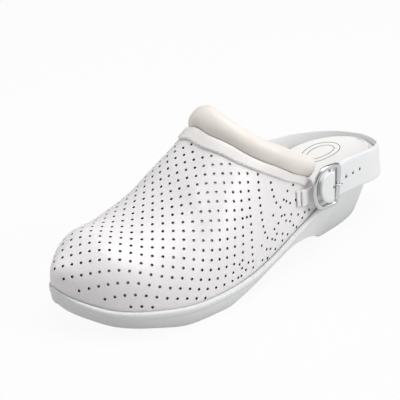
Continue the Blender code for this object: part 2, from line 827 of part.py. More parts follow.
def punch_strap(strap, material):
    """Holes for the prong along the strap, one of them where the prong goes through."""
    crossing = buckle_matrix() @ prong_line()[PRONG_CROSSING]
    holes = [(share, HOLE_HEIGHT, HOLE_RADIUS) for share in STRAP_HOLES]
    holes.append((crossing.x / SOLE_LENGTH, crossing.z, PRONG_HOLE))
    points, faces = [], []
    for share, height, radius in holes:
        edge = wall_point(share, 1, 0.0, height)
        outward = (wall_point(share, 1, STRAP_STAND, height) - edge).normalized()
        level = outward.cross(Vector((0.0, 0.0, 1.0)))
        rings = [round_ring(edge + outward * stand, level, Vector((0.0, 0.0, 1.0)), 2.0 * radius,
                            2.0 * radius, 10) for stand in (-STRAP_STAND, 2.0 * STRAP_STAND)]
        ends, sides = tube(rings)
        first = len(points)
        points += ends
        faces += [tuple(first + corner for corner in face) for face in sides]
    cutter = solid("strap_holes", points, faces, material, flat=True)
    cut(strap, cutter)
    return cutter


def main():
    """Builds every piece and centres the shoe on its footprint."""
    for item in list(bpy.data.objects):
        bpy.data.objects.remove(item)
    sole_finish = finish("sole_finish", (0.80, 0.81, 0.82), 0.45)
    leather = finish("leather", (0.88, 0.88, 0.87), 0.38)
    padding = finish("padding", (0.86, 0.82, 0.74), 0.42)
    lining = finish("lining", (0.80, 0.81, 0.80), 0.48)
    plastic = finish("buckle_finish", (0.88, 0.89, 0.90), 0.22)
    sole, channels = make_sole(sole_finish)
    strap = make_heel_strap(leather)
    frame, bar = make_buckle_frame(plastic)
    tab, slot = make_buckle_tab(leather)
    pieces = [
        sole, make_insole(lining), make_upper(leather), make_collar(padding), make_collar_band(leather),
        strap, tab, frame, make_buckle_prong(plastic),
    ]
    helpers = [channels, bar, slot, punch_strap(strap, leather)]
    corners = [vertex.co for piece in pieces for vertex in piece.data.vertices]
    middle = [(min(c[i] for c in corners) + max(c[i] for c in corners)) / 2.0 for i in (0, 1)]
    root = bpy.data.objects.new("clog", None)
    root.location = (-middle[0], -middle[1], 0.0)
    bpy.context.scene.collection.objects.link(root)
    for piece in pieces + helpers:
        piece.parent = root


main()
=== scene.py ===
"""Dressed clog: a perforated white leather upper with a padded collar, a buckled heel strap and a
one-piece sole, standing empty on a pale floor. Left shoe. All sizes are metres.

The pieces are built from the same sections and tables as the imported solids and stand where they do.
"""

import logging
import math
from dataclasses import dataclass, field
from enum import Enum
from typing import Callable, Optional, Sequence

import bmesh
import bpy
import numpy as np
from mathutils import Matrix, Vector
from mathutils.bvhtree import BVHTree
from mathutils.geometry import delaunay_2d_cdt


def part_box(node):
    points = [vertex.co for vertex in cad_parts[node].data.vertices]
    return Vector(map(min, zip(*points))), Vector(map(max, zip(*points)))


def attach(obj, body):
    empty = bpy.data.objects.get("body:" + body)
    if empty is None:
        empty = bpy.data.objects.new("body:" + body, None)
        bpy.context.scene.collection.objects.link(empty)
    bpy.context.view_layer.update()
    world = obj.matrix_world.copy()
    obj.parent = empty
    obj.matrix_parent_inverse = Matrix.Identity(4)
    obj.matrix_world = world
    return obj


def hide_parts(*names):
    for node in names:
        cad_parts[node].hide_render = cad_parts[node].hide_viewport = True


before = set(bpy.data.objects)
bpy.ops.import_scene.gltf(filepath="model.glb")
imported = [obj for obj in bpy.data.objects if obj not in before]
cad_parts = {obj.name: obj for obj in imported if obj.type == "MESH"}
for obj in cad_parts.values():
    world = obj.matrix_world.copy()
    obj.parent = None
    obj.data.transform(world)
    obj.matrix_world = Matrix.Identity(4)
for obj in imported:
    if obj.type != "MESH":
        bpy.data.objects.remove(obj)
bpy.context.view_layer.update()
LOG = logging.getLogger("clog")

Array = np.ndarray
Colour = tuple[float, float, float]


def table(header: str, *rows: Sequence[float]) -> dict[str, Array]:
    """Columns of a small table by the names in its header.

    Args:
        header: Names of the columns, parted by spaces.
        rows: One row of numbers for each section.

    Returns:
        One array for each name.
    """
    return {name: np.array([row[i] for row in rows], float) for i, name in enumerate(header.split())}


# Edges of the bead as shares of the ball width, and its height as shares of heel lift and toe spring
FOOTPRINT = table(
    "along medial lateral heel toe",
    (0.000, 0.015, 0.015, 1.000, 0.00),
    (0.020, -0.122, 0.145, 0.995, 0.00),
    (0.070, -0.232, 0.240, 0.975, 0.00),
    (0.150, -0.310, 0.308, 0.905, 0.00),
    (0.260, -0.338, 0.346, 0.700, 0.00),
    (0.380, -0.333, 0.376, 0.370, 0.00),
    (0.500, -0.365, 0.425, 0.090, 0.00),
    (0.600, -0.443, 0.472, 0.000, 0.00),
    (0.680, -0.496, 0.494, 0.000, 0.00),
    (0.760, -0.506, 0.482, 0.000, 0.03),
    (0.850, -0.466, 0.407, 0.000, 0.19),
    (0.925, -0.383, 0.275, 0.000, 0.37),
    (0.975, -0.249, 0.105, 0.000, 0.69),
    (1.000, -0.096, -0.096, 0.000, 1.00),
)

# Edge of the tread: height as shares of arch and toe spring, and how far the wall draws in
TREAD_EDGE = table(
    "along arch toe tuck",
    (0.000, 0.00, 0.00, 1.00),
    (0.050, 0.00, 0.00, 1.00),
    (0.245, 0.00, 0.00, 1.00),
    (0.280, 0.28, 0.00, 0.70),
    (0.320, 0.68, 0.00, 0.36),
    (0.370, 0.95, 0.00, 0.14),
    (0.410, 1.00, 0.00, 0.10),
    (0.460, 0.84, 0.00, 0.12),
    (0.510, 0.62, 0.00, 0.15),
    (0.560, 0.38, 0.00, 0.20),
    (0.610, 0.16, 0.00, 0.26),
    (0.660, 0.00, 0.00, 0.32),
    (0.770, 0.00, 0.00, 0.36),
    (0.850, 0.00, 0.22, 0.38),
    (0.930, 0.00, 0.46, 0.38),
    (0.975, 0.00, 0.78, 0.38),
    (1.000, 0.00, 1.10, 0.38),
)

# Sections of the upper: height of the crest, place of the ridge across and squareness
VAMP = table(
    "along crest ridge full",
    (0.240, 1.043, 0.000, 2.10),
    (0.400, 1.043, -0.027, 2.10),
    (0.470, 1.003, -0.054, 2.06),
    (0.530, 0.930, -0.088, 2.05),
    (0.600, 0.773, -0.092, 2.21),
    (0.700, 0.550, -0.100, 2.30),
    (0.800, 0.420, -0.120, 2.35),
    (0.900, 0.373, -0.120, 2.35),
    (0.965, 0.237, -0.110, 2.35),
    (1.000, 0.068, -0.100, 2.30),
)

# Rear edge and topline of the upper: angle round the section and the share where the upper starts
TOPLINE = table(
    "turn along",
    (0.00, 0.309),
    (0.10, 0.314),
    (0.25, 0.333),
    (0.42, 0.399),
    (0.56, 0.443),
    (0.70, 0.481),
    (0.91, 0.522),
    (1.18, 0.548),
    (1.36, 0.561),
    (1.571, 0.553),
)

# Heel strap: heights of its edges as shares of its rise, and their stand as shares of its stand
STRAP_LATERAL = table(
    "along top bottom over under",
    (0.000, 0.940, 0.480, 0.068, 0.818),
    (0.010, 0.946, 0.486, 0.068, 0.795),
    (0.050, 1.000, 0.536, 0.114, 0.591),
    (0.100, 1.052, 0.584, 0.136, 0.409),
    (0.160, 1.100, 0.634, 0.136, 0.273),
    (0.220, 1.126, 0.656, 0.136, 0.182),
    (0.258, 1.100, 0.668, 0.114, 0.114),
    (0.271, 1.098, 0.672, 0.114, 0.114),
    (0.278, 1.096, 0.674, 0.295, 0.295),
    (0.286, 1.096, 0.676, 0.750, 0.750),
    (0.296, 1.102, 0.682, 0.977, 0.977),
    (0.318, 1.132, 0.708, 1.000, 1.000),
    (0.342, 1.160, 0.732, 1.000, 1.000),
)
STRAP_MEDIAL = table(
    "along top bottom over under",
    (0.000, 0.940, 0.480, 0.068, 0.818),
    (0.010, 0.944, 0.484, 0.068, 0.795),
    (0.050, 0.968, 0.504, 0.114, 0.591),
    (0.100, 0.984, 0.532, 0.136, 0.409),
    (0.180, 1.008, 0.570, 0.136, 0.273),
    (0.250, 1.016, 0.604, 0.136, 0.136),
    (0.300, 0.988, 0.636, 0.045, 0.136),
    (0.330, 0.936, 0.648, -0.591, -0.455),
    (0.350, 0.924, 0.652, -2.273, -2.273),
    (0.385, 0.940, 0.656, -2.273, -2.273),
)


class Side(Enum):
    """Side of the shoe: the outer one is the wearer's left."""

    LATERAL = 1
    MEDIAL = -1


class Skin(Enum):
    """Place of a face on a sheet, by the material slot that it takes."""

    OUTER = 0
    INNER = 1
    EDGE = 2
    HOLE = 3


class Track:
    """A curve that runs smoothly through values at rising keys and does not overshoot."""

    def __init__(self, keys: Array, values: Array) -> None:
        """Works out the slope of the curve at each key.

        Args:
            keys: Rising places.
            values: The values there.
        """
        self.keys = np.asarray(keys, float)
        self.values = np.asarray(values, float)
        steps = np.diff(self.keys)
        slopes = np.diff(self.values) / steps
        before, after = slopes[:-1], slopes[1:]
        near, far = steps[:-1], steps[1:]
        mean = (before * far + after * near) / (near + far)
        limit = 3.0 * np.minimum(abs(before), abs(after))
        inner = np.where(before * after > 0.0, np.sign(before) * np.minimum(abs(mean), limit), 0.0)
        self.slopes = np.concatenate([slopes[:1], inner, slopes[-1:]])

    def __call__(self, key: Array) -> Array:
        """Value of the curve at a key, held at the ends."""
        key = np.clip(key, self.keys[0], self.keys[-1])
        i = np.clip(np.searchsorted(self.keys, key) - 1, 0, len(self.keys) - 2)
        step = self.keys[i + 1] - self.keys[i]
        u = (key - self.keys[i]) / step
        start = (1.0 + 2.0 * u) * self.values[i] + u * step * self.slopes[i]
        end = (3.0 - 2.0 * u) * self.values[i + 1] + (u - 1.0) * step * self.slopes[i + 1]
        return (1.0 - u) ** 2 * start + u * u * end


def turn_of(share: Array) -> Array:
    """Angle that crowds sections towards heel and toe, from a share of the length."""
    return np.arccos(1.0 - 2.0 * np.clip(share, 0.0, 1.0))


def share_of(turn: Array) -> Array:
    """Share of the length at such an angle."""
    return (1.0 - np.cos(turn)) / 2.0


def along_shoe(columns: dict[str, Array], name: str) -> Callable[[Array], Array]:
    """A smooth function of the share along the shoe from one column of a table.

    Args:
        columns: The table.
        name: The column.

    Returns:
        The function.
    """
    track = Track(turn_of(columns["along"]), columns[name])
    return lambda share: track(turn_of(share))


def unit(vectors: Array) -> Array:
    """Vectors of length one along the last axis."""
    return vectors / np.maximum(np.linalg.norm(vectors, axis=-1, keepdims=True), 1e-12)


def stack(*parts: Array) -> Array:
    """Points from their x, y and z."""
    return np.stack(np.broadcast_arrays(*parts), axis=-1)


def smooth(share: Array) -> Array:
    """A share held between 0 and 1 and eased at both ends."""
    share = np.clip(share, 0.0, 1.0)
    return share * share * (3.0 - 2.0 * share)


def run_along(line: Array) -> Array:
    """Length of a line of points up to each of them."""
    return np.concatenate([[0.0], np.cumsum(np.linalg.norm(np.diff(line, axis=0), axis=1))])


def angles(count: int) -> Array:
    """Even angles once round."""
    return 2.0 * math.pi * np.arange(count) / count


def circle(sides: int, first: Array, second: Array) -> Array:
    """Points round a circle of radius one that two directions span."""
    angle = angles(sides)
    return np.cos(angle)[:, None] * first + np.sin(angle)[:, None] * second


@dataclass
class Last:
    """The shoe's own form, from which every piece takes its place."""

    length: float = 0.250
    ball: float = 0.096
    rim_height: float = 0.0130
    heel_lift: float = 0.0305
    toe_spring: float = 0.0130
    arch_height: float = 0.0148
    tuck: float = 0.0125
    bead_width: float = 0.0030
    bead_height: float = 0.0045
    bead_stand: float = 0.0016
    seat_drop: float = 0.0014
    crest_height: float = 0.0885
    slip: float = 0.0003
    feather_gap: float = 0.0005
    leather: float = 0.0020
    step: float = 0.01
    toe_pull: float = 0.0026
    toe_limit: float = 0.0034
    toe_from: float = -1.20
    toe_to: float = 0.45
    toe_fade: float = 0.40
    ease_from: float = 0.75
    ease_fade: float = 0.35
    shift: Array = field(default_factory=lambda: np.zeros(3))

    def __post_init__(self) -> None:
        """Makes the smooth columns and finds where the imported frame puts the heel."""
        low, high = (np.array(corner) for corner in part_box("sole"))
        self.medial = along_shoe(FOOTPRINT, "medial")
        self.lateral = along_shoe(FOOTPRINT, "lateral")
        self.heel = along_shoe(FOOTPRINT, "heel")
        self.toe = along_shoe(FOOTPRINT, "toe")
        self.arch = along_shoe(TREAD_EDGE, "arch")
        self.tread_toe = along_shoe(TREAD_EDGE, "toe")
        self.tread_tuck = along_shoe(TREAD_EDGE, "tuck")
        self.crest = along_shoe(VAMP, "crest")
        self.ridge = along_shoe(VAMP, "ridge")
        self.full = along_shoe(VAMP, "full")
        self.start = self.eased(Track(TOPLINE["turn"], TOPLINE["along"]))
        middle = (FOOTPRINT["lateral"].max() + FOOTPRINT["medial"].min()) / 2.0 * self.ball
        self.shift = np.array((low[0], (low[1] + high[1]) / 2.0 - middle, low[2]))

    def eased(self, track: Track, parts: int = 240, reach: float = 0.11) -> Track:
        """The topline with its turns eased over the crest, the same on both sides.

        Args:
            track: The topline by turn.
            parts: Steps from the sole to the crest.
            reach: Turn over which it is eased.

        Returns:
            The eased topline.
        """
        turn = np.linspace(0.0, math.pi / 2.0, parts + 1)
        around = np.linspace(-3.0 * reach, 3.0 * reach, 61)
        weight = np.exp(-(around / reach) ** 2 / 2.0)
        place = turn[:, None] + around[None, :]
        value = track(np.minimum(place, math.pi - place))
        soft = (value * weight).sum(axis=1) / weight.sum()
        share = smooth((turn - self.ease_from) / self.ease_fade)
        return Track(turn, track(turn) + (soft - track(turn)) * share)

    @property
    def feather(self) -> float:
        """How far the upper's foot is in from the bead's outline."""
        return self.bead_width + self.feather_gap

    def rim(self, share: Array) -> Array:
        """Height of the bead's top."""
        return self.rim_height + self.heel_lift * self.heel(share) + self.toe_spring * self.toe(share)

    def tread(self, share: Array) -> Array:
        """Height of the tread's edge above the ground."""
        return self.arch_height * self.arch(share) + self.toe_spring * self.tread_toe(share)

    def footprint(self, share: Array, side: Array, inset: Array) -> tuple[Array, Array]:
        """Outline of the sole.

        Args:
            share: Share of the length.
            side: 1 for the lateral edge and -1 for the medial.
            inset: How far in from the outline.

        Returns:
            x and y in the shoe's own frame.
        """
        share, side = np.broadcast_arrays(np.asarray(share, float), np.asarray(side, float))

        def edge(at: Array) -> Array:
            """Place of the edge across, on the side asked for."""
            return np.where(side > 0, self.lateral(at), self.medial(at))

        turn = turn_of(share)
        low, high = np.maximum(turn - self.step, 0.0), np.minimum(turn + self.step, math.pi)
        run = self.length * (share_of(high) - share_of(low))
        rise = self.ball * (edge(share_of(high)) - edge(share_of(low)))
        size = np.hypot(run, rise)
        x = self.length * share + rise * side / size * inset
        return x, self.ball * edge(share) - run * side / size * inset

    def upper(self, share: Array, turn: Array) -> Array:
        """Outer face of the upper.

        Args:
            share: Share of the length.
            turn: Angle round the section, 0 at the lateral sole and pi at the medial.

        Returns:
            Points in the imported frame.
        """
        share, turn = np.broadcast_arrays(np.asarray(share, float), np.asarray(turn, float))
        outer_x, outer_y = self.footprint(share, 1.0, self.feather)
        inner_x, inner_y = self.footprint(share, -1.0, self.feather)
        full = self.full(share)
        reach, rise = abs(np.cos(turn)), np.sin(turn)
        swell = (reach ** full + abs(rise) ** full) ** (-1.0 / full)
        on_outer = np.cos(turn) > 0.0
        foot_x, foot_y = np.where(on_outer, outer_x, inner_x), np.where(on_outer, outer_y, inner_y)
        crest_x = (outer_x + inner_x) / 2.0
        ridge = np.minimum(np.maximum(self.ball * self.ridge(share), inner_y), outer_y)
        seat = self.rim(share) - self.seat_drop + self.slip
        return stack(
            crest_x + (foot_x - crest_x) * reach * swell,
            ridge + (foot_y - ridge) * reach * swell,
            seat + self.crest_height * self.crest(share) * rise * swell,
        ) + self.shift

    def normal(self, share: Array, turn: Array) -> Array:
        """Outward direction of the upper's outer face."""
        station = turn_of(share)
        low, high = np.maximum(station - self.step, 0.0), np.minimum(station + self.step, math.pi)
        down, up = np.maximum(turn - self.step, 0.0), np.minimum(turn + self.step, math.pi)
        forward = self.upper(share_of(high), turn) - self.upper(share_of(low), turn)
        around = self.upper(share, up) - self.upper(share, down)
        return unit(np.cross(around, forward))

    def topline(self, turn: Array) -> Array:
        """Share where the upper starts, the same on both sides."""
        return self.start(np.minimum(turn, math.pi - np.asarray(turn)))

    def wall(self, share: Array, side: Array, stand: Array, height: Array) -> Array:
        """Point beside the shoe, at a stand out from the bead's outline.

        Args:
            share: Share of the length.
            side: 1 for lateral and -1 for medial.
            stand: Distance out from the outline.
            height: Height above the ground.

        Returns:
            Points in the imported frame.
        """
        x, y = self.footprint(share, side, -np.asarray(stand))
        return stack(x, y, np.asarray(height, float)) + self.shift

    def narrowed(self, share: Array, side: Array, inset: Array) -> Array:
        """Insets with the bead narrowed at the toe's inner corner, where the vamp stands over it.

        Args:
            share: Share of the length.
            side: 1 for lateral and -1 for medial.
            inset: How far in from the outline.

        Returns:
            The insets to use.
        """
        bend = (math.pi - turn_of(share)) * side
        rise, fall = (bend - self.toe_from) / self.toe_fade, (self.toe_to - bend) / self.toe_fade
        pull = self.toe_pull * smooth(rise) * smooth(fall)
        return np.where(inset < self.toe_limit, pull + inset * (1.0 - pull / self.toe_limit), inset)

    def outline(self, inset: Callable[[Array], Array], height: Callable[[Array], Array],
                stations: int, narrow: bool = False) -> Array:
        """Closed ring round the shoe, up the lateral side and back the medial side.

        Args:
            inset: How far in from the bead's outline, by share.
            height: Height above the ground, by share.
            stations: Steps from heel to toe.
            narrow: Whether the bead is narrowed at the toe's inner corner.

        Returns:
            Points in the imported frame.
        """
        share = share_of(math.pi * np.arange(stations + 1) / stations)
        share = np.concatenate([share, share[-2:0:-1]])
        side = np.concatenate([np.ones(stations + 1), -np.ones(stations - 1)])
        inward = np.broadcast_to(inset(share), share.shape)
        x, y = self.footprint(share, side, self.narrowed(share, side, inward) if narrow else inward)
        return stack(x, y, height(share)) + self.shift


class Flat:
    """The upper laid flat: reach along the ridge against girth out from it."""

    def __init__(self, last: Last, rows: int = 220, columns: int = 180, start: float = 0.28) -> None:
        """Measures the upper on a fine net.

        Args:
            last: The shoe's form.
            rows: Sections from instep to toe.
            columns: Steps round each section.
            start: Share where the first section is.
        """
        self.share = share_of(np.linspace(turn_of(start), math.pi, rows))
        self.turn = np.linspace(0.0, math.pi, columns + 1)
        net = last.upper(self.share[:, None], self.turn[None, :])
        reach = np.linalg.norm(np.diff(net, axis=1), axis=2)
        total = np.concatenate([np.zeros((rows, 1)), np.cumsum(reach, axis=1)], axis=1)
        middle = columns // 2
        self.girth = total[:, middle:middle + 1] - total
        self.reach = run_along(net[:, middle])

    def rows_at(self, share: Array) -> tuple[Array, Array]:
        """Row of the net below each share, and how far past it the share lies."""
        row = np.clip(np.searchsorted(self.share, share) - 1, 0, len(self.share) - 2)
        span = self.share[row + 1] - self.share[row]
        return row, np.clip((share - self.share[row]) / span, 0.0, 1.0)[:, None]

    def lay(self, share: Array, turn: Array) -> Array:
        """Flat places of points on the upper.

        Args:
            share: Shares of the length.
            turn: Angles round the section.

        Returns:
            Reach and girth of each.
        """
        share, turn = (np.asarray(part, float) for part in np.broadcast_arrays(share, turn))
        row, past = self.rows_at(share)
        girths = self.girth[row] * (1.0 - past) + self.girth[row + 1] * past
        place = np.clip(turn / math.pi, 0.0, 1.0) * (len(self.turn) - 1)
        column = np.minimum(place.astype(int), len(self.turn) - 2)
        over = place - column
        at = np.arange(len(share))
        girth = girths[at, column] * (1.0 - over) + girths[at, column + 1] * over
        return np.stack([np.interp(share, self.share, self.reach), girth], axis=1)

    def lift(self, flat: Array) -> tuple[Array, Array]:
        """Share and turn of flat places, the reverse of laying out.

        Args:
            flat: Reach and girth of each.

        Returns:
            Shares and turns.
        """
        share = np.interp(flat[:, 0], self.reach, self.share)
        row, past = self.rows_at(share)
        girths = self.girth[row] * (1.0 - past) + self.girth[row + 1] * past
        column = np.clip((girths > flat[:, 1:2]).sum(axis=1) - 1, 0, len(self.turn) - 2)
        at = np.arange(len(share))
        high, low = girths[at, column], girths[at, column + 1]
        over = np.clip((high - flat[:, 1]) / np.maximum(high - low, 1e-9), 0.0, 1.0)
        return share, self.turn[column] + over * (self.turn[1] - self.turn[0])


@dataclass(frozen=True)
class Perforation:
    """Staggered rows of punched holes, as they lie on the lasted leather."""

    reach_zero: float = 0.120
    row_zero: float = 3.0
    row_pitch: float = 0.00382
    column_pitch: float = 0.00407
    bow_radius: float = 0.150
    bow_fade: float = 0.097
    spread: float = 0.065
    scale: float = 0.060
    radius: float = 0.00084
    first_row: int = -22
    last_row: int = 46
    last_column: int = 36
    steps: int = 12
    nudge: float = 1e-4
    rearmost: float = -2.2
    foremost: float = 1.6
    outermost: float = 2.2

    def row_at(self, along: Array, across: Array) -> Array:
        """Row at a place: even rows that bow round the toe, and less so towards the instep."""
        bow = (self.scale * across) ** 2 / (2.0 * self.bow_radius)
        ahead = self.scale * along
        return self.row_zero - (ahead + bow * np.exp(-ahead / self.bow_fade)) / self.row_pitch

    def column_at(self, along: Array, across: Array) -> Array:
        """Column at a place: even columns that spread a little towards both ends."""
        return -self.scale * across * (1.0 - self.spread * along ** 2) / self.column_pitch

    def flat(self, row: Array, column: Array) -> Array:
        """Flat places of rows and columns, found by stepping back from the two laws.

        Args:
            row: Rows along the shoe.
            column: Columns across it.

        Returns:
            Reach and girth of each.
        """
        along = (self.row_zero - row) * self.row_pitch / self.scale
        across = -column * self.column_pitch / self.scale
        small = self.nudge
        for _ in range(self.steps):
            r, c = self.row_at(along, across) - row, self.column_at(along, across) - column
            ra = (self.row_at(along + small, across) - row - r) / small
            rb = (self.row_at(along, across + small) - row - r) / small
            ca = (self.column_at(along + small, across) - column - c) / small
            cb = (self.column_at(along, across + small) - column - c) / small
            size = ra * cb - rb * ca
            size = np.where(abs(size) < 1.0, 1.0, size)
            along = np.clip(along - (r * cb - rb * c) / size, self.rearmost, self.foremost)
            across = np.clip(across - (ra * c - r * ca) / size, -self.outermost, self.outermost)
        return np.stack([self.reach_zero + self.scale * along, self.scale * across], axis=1)

    def lattice(self, parts: int) -> Array:
        """Places of a lattice that is finer than the holes by a number of parts.

        Args:
            parts: 1 for the holes alone, 2 for their midpoints too.

        Returns:
            Flat places.
        """
        row, column = np.meshgrid(
            np.arange(self.first_row * parts, self.last_row * parts + 1),
            np.arange(-self.last_column * parts, self.last_column * parts + 1), indexing="ij")
        row, column = row.ravel(), column.ravel()
        staggered = (row + column) % 2 == 0
        return self.flat(row[staggered] / parts, column[staggered] / parts)


def inside(points: Array, loop: Array) -> Array:
    """Whether points lie inside a closed loop."""
    x, y = points[:, 0:1], points[:, 1:2]
    ax, ay = loop[:, 0], loop[:, 1]
    bx, by = np.roll(ax, -1), np.roll(ay, -1)
    spans = (ay > y) != (by > y)
    slope = np.where(by == ay, 1e-12, by - ay)
    return (spans & (x < ax + (y - ay) * (bx - ax) / slope)).sum(axis=1) % 2 == 1


def clearance(points: Array, loop: Array) -> Array:
    """Distance of points from a closed loop."""
    a, b = loop, np.roll(loop, -1, axis=0)
    best = np.full(len(points), 1e9)
    for start, end in zip(a, b):
        side = end - start
        share = np.clip(((points - start) @ side) / max(side @ side, 1e-18), 0.0, 1.0)
        best = np.minimum(best, np.linalg.norm(points - start - share[:, None] * side, axis=1))
    return best


def make_object(name: str, points: Array, faces: Sequence[Sequence[int]],
                slots: Optional[Sequence[int]] = None) -> bpy.types.Object:
    """A smooth mesh object in the scene.

    Args:
        name: Its name.
        points: Its points.
        faces: Corners of each face.
        slots: Material slot of each face.

    Returns:
        The object.
    """
    mesh = bpy.data.meshes.new(name)
    mesh.from_pydata([tuple(point) for point in points], [], [tuple(face) for face in faces])
    if slots is not None:
        mesh.polygons.foreach_set("material_index", np.asarray(slots, np.int32))
    mesh.shade_smooth()
    mesh.update()
    item = bpy.data.objects.new(name, mesh)
    bpy.context.scene.collection.objects.link(item)
    return item


def face_outwards(item: bpy.types.Object) -> None:
    """Turns the faces of a closed mesh outwards."""
    shell = bmesh.new()
    shell.from_mesh(item.data)
    bmesh.ops.recalc_face_normals(shell, faces=shell.faces)
    shell.to_mesh(item.data)
    shell.free()


def tube_faces(rings: int, size: int, first: int = 0, closed: bool = False) -> list[tuple[int, ...]]:
    """Faces between rings of points that follow each other.

    Args:
        rings: Number of rings.
        size: Points in each.
        first: Number of the first point.
        closed: Whether the last ring joins the first.

    Returns:
        Corners of the faces.
    """
    faces = []
    for i in range(rings if closed else rings - 1):
        here, there = first + i * size, first + (i + 1) % rings * size
        for k in range(size):
            m = (k + 1) % size
            faces.append((here + k, here + m, there + m, there + k))
    return faces


def end_faces(rings: int, size: int, first: int = 0) -> list[tuple[int, ...]]:
    """Faces that fill the first and the last of such rings."""
    return [tuple(range(start, start + size)) for start in (first, first + (rings - 1) * size)]


def sweep(name: str, rings: Sequence[Array], closed: bool = False) -> bpy.types.Object:
    """A swept form from rings of points, with its open ends filled.

    Args:
        name: Its name.
        rings: Rings with the same number of points.
        closed: Whether the last ring joins the first.

    Returns:
        The object.
    """
    count, size = len(rings), len(rings[0])
    faces = tube_faces(count, size, closed=closed) + ([] if closed else end_faces(count, size))
    item = make_object(name, np.concatenate(rings), faces)
    face_outwards(item)
    return item


def span_ring(points: list[Array], base: int, size: int, columns: int,
              sink: Callable[[float, float], float]) -> list[tuple[int, ...]]:
    """Fills a ring that runs round the shoe, with further points on lines across it.

    Args:
        points: All points so far, to which the further ones are added.
        base: Number of the ring's first point, at the heel.
        size: Points in the ring.
        columns: Steps across.
        sink: How far a point lies under its line, by its shares along and across.

    Returns:
        Corners of the faces.
    """
    half = size // 2
    strips = [[base] * (columns + 1)]
    for i in range(1, half):
        left, right = base + i, base + size - i
        strip = [left]
        for k in range(1, columns):
            place = points[left] + (points[right] - points[left]) * k / columns
            strip.append(len(points))
            points.append(place - np.array((0.0, 0.0, sink(i / half, k / columns))))
        strips.append(strip + [right])
    strips.append([base + half] * (columns + 1))
    return [tuple(dict.fromkeys((before[k], before[k + 1], after[k + 1], after[k])))
            for before, after in zip(strips, strips[1:]) for k in range(columns)]


def level_span(along: float, across: float) -> float:
    """Leaves the lines across a ring straight."""
    return 0.0


def fill_rings(name: str, rings: Sequence[Array], columns: int,
               sink: Callable[[float, float], float] = level_span) -> bpy.types.Object:
    """A solid from rings that run round the shoe one above the other.

    Args:
        name: Its name.
        rings: Rings with the same number of points.
        columns: Steps across the lowest and the highest.
        sink: How far the top is sunk, by the shares along and across.

    Returns:
        The object.
    """
    count, size = len(rings), len(rings[0])
    points = list(np.concatenate(rings))
    faces = tube_faces(count, size)
    faces += span_ring(points, 0, size, columns, level_span)
    faces += span_ring(points, (count - 1) * size, size, columns, sink)
    item = make_object(name, np.array(points), faces)
    face_outwards(item)
    return item


def cut_away(item: bpy.types.Object, cutter: bpy.types.Object, mode: str = "INDEX") -> None:
    """Cuts one object out of another and removes it.

    Args:
        item: The object that is cut.
        cutter: What is cut out of it.
        mode: Blender's name for where the new faces take their material from.
    """
    cut = item.modifiers.new("cut", "BOOLEAN")
    cut.object, cut.solver, cut.material_mode = cutter, "EXACT", mode
    mesh = bpy.data.meshes.new_from_object(item.evaluated_get(bpy.context.evaluated_depsgraph_get()))
    item.modifiers.clear()
    old = item.data
    item.data = mesh
    bpy.data.meshes.remove(old)
    bpy.data.objects.remove(cutter)


def show(item: bpy.types.Object, finishes: Sequence[bpy.types.Material],
         replaced: Sequence[str] = ()) -> bpy.types.Object:
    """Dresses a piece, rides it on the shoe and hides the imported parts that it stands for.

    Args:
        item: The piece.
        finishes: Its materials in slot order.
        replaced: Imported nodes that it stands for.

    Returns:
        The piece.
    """
    for finish in finishes:
        item.data.materials.append(finish)
    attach(item, "root")
    if replaced:
        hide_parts(*replaced)
    LOG.info("%s: %d faces", item.name, len(item.data.polygons))
    return item


# Effects that several materials share


class Group:
    """A shader node group with named sockets."""

    def __init__(self, name: str, inputs: dict[str, float], outputs: Sequence[str]) -> None:
        """Makes the group and its sockets.

        Args:
            name: Its name.
            inputs: Number sockets with their usual values.
            outputs: Names of its outputs.
        """
        self.tree = bpy.data.node_groups.new(name, "ShaderNodeTree")
        for label, value in inputs.items():
            socket = self.tree.interface.new_socket(label, in_out="INPUT", socket_type="NodeSocketFloat")
            socket.default_value = value
        for label in outputs:
            self.tree.interface.new_socket(label, in_out="OUTPUT", socket_type="NodeSocketFloat")
        self.entry = self.tree.nodes.new("NodeGroupInput")
        self.exit = self.tree.nodes.new("NodeGroupOutput")

    def node(self, kind: str, **settings: object) -> bpy.types.Node:
        """A new node with its settings."""
        node = self.tree.nodes.new(kind)
        for label, value in settings.items():
            setattr(node, label, value)
        return node

    def link(self, start: bpy.types.NodeSocket, end: bpy.types.NodeSocket) -> None:
        """Joins two sockets."""
        self.tree.links.new(start, end)

    def math(self, operation: str, first: object, second: object) -> bpy.types.NodeSocket:
        """Result of a sum on two sockets or numbers.

        Args:
            operation: Blender's name for the sum.
            first: Socket or number.
            second: Socket or number.

        Returns:
            The socket with the result.
        """
        node = self.node("ShaderNodeMath", operation=operation)
        for socket, value in zip(node.inputs, (first, second)):
            if isinstance(value, (int, float)):
                socket.default_value = value
            else:
                self.link(value, socket)
        return node.outputs[0]


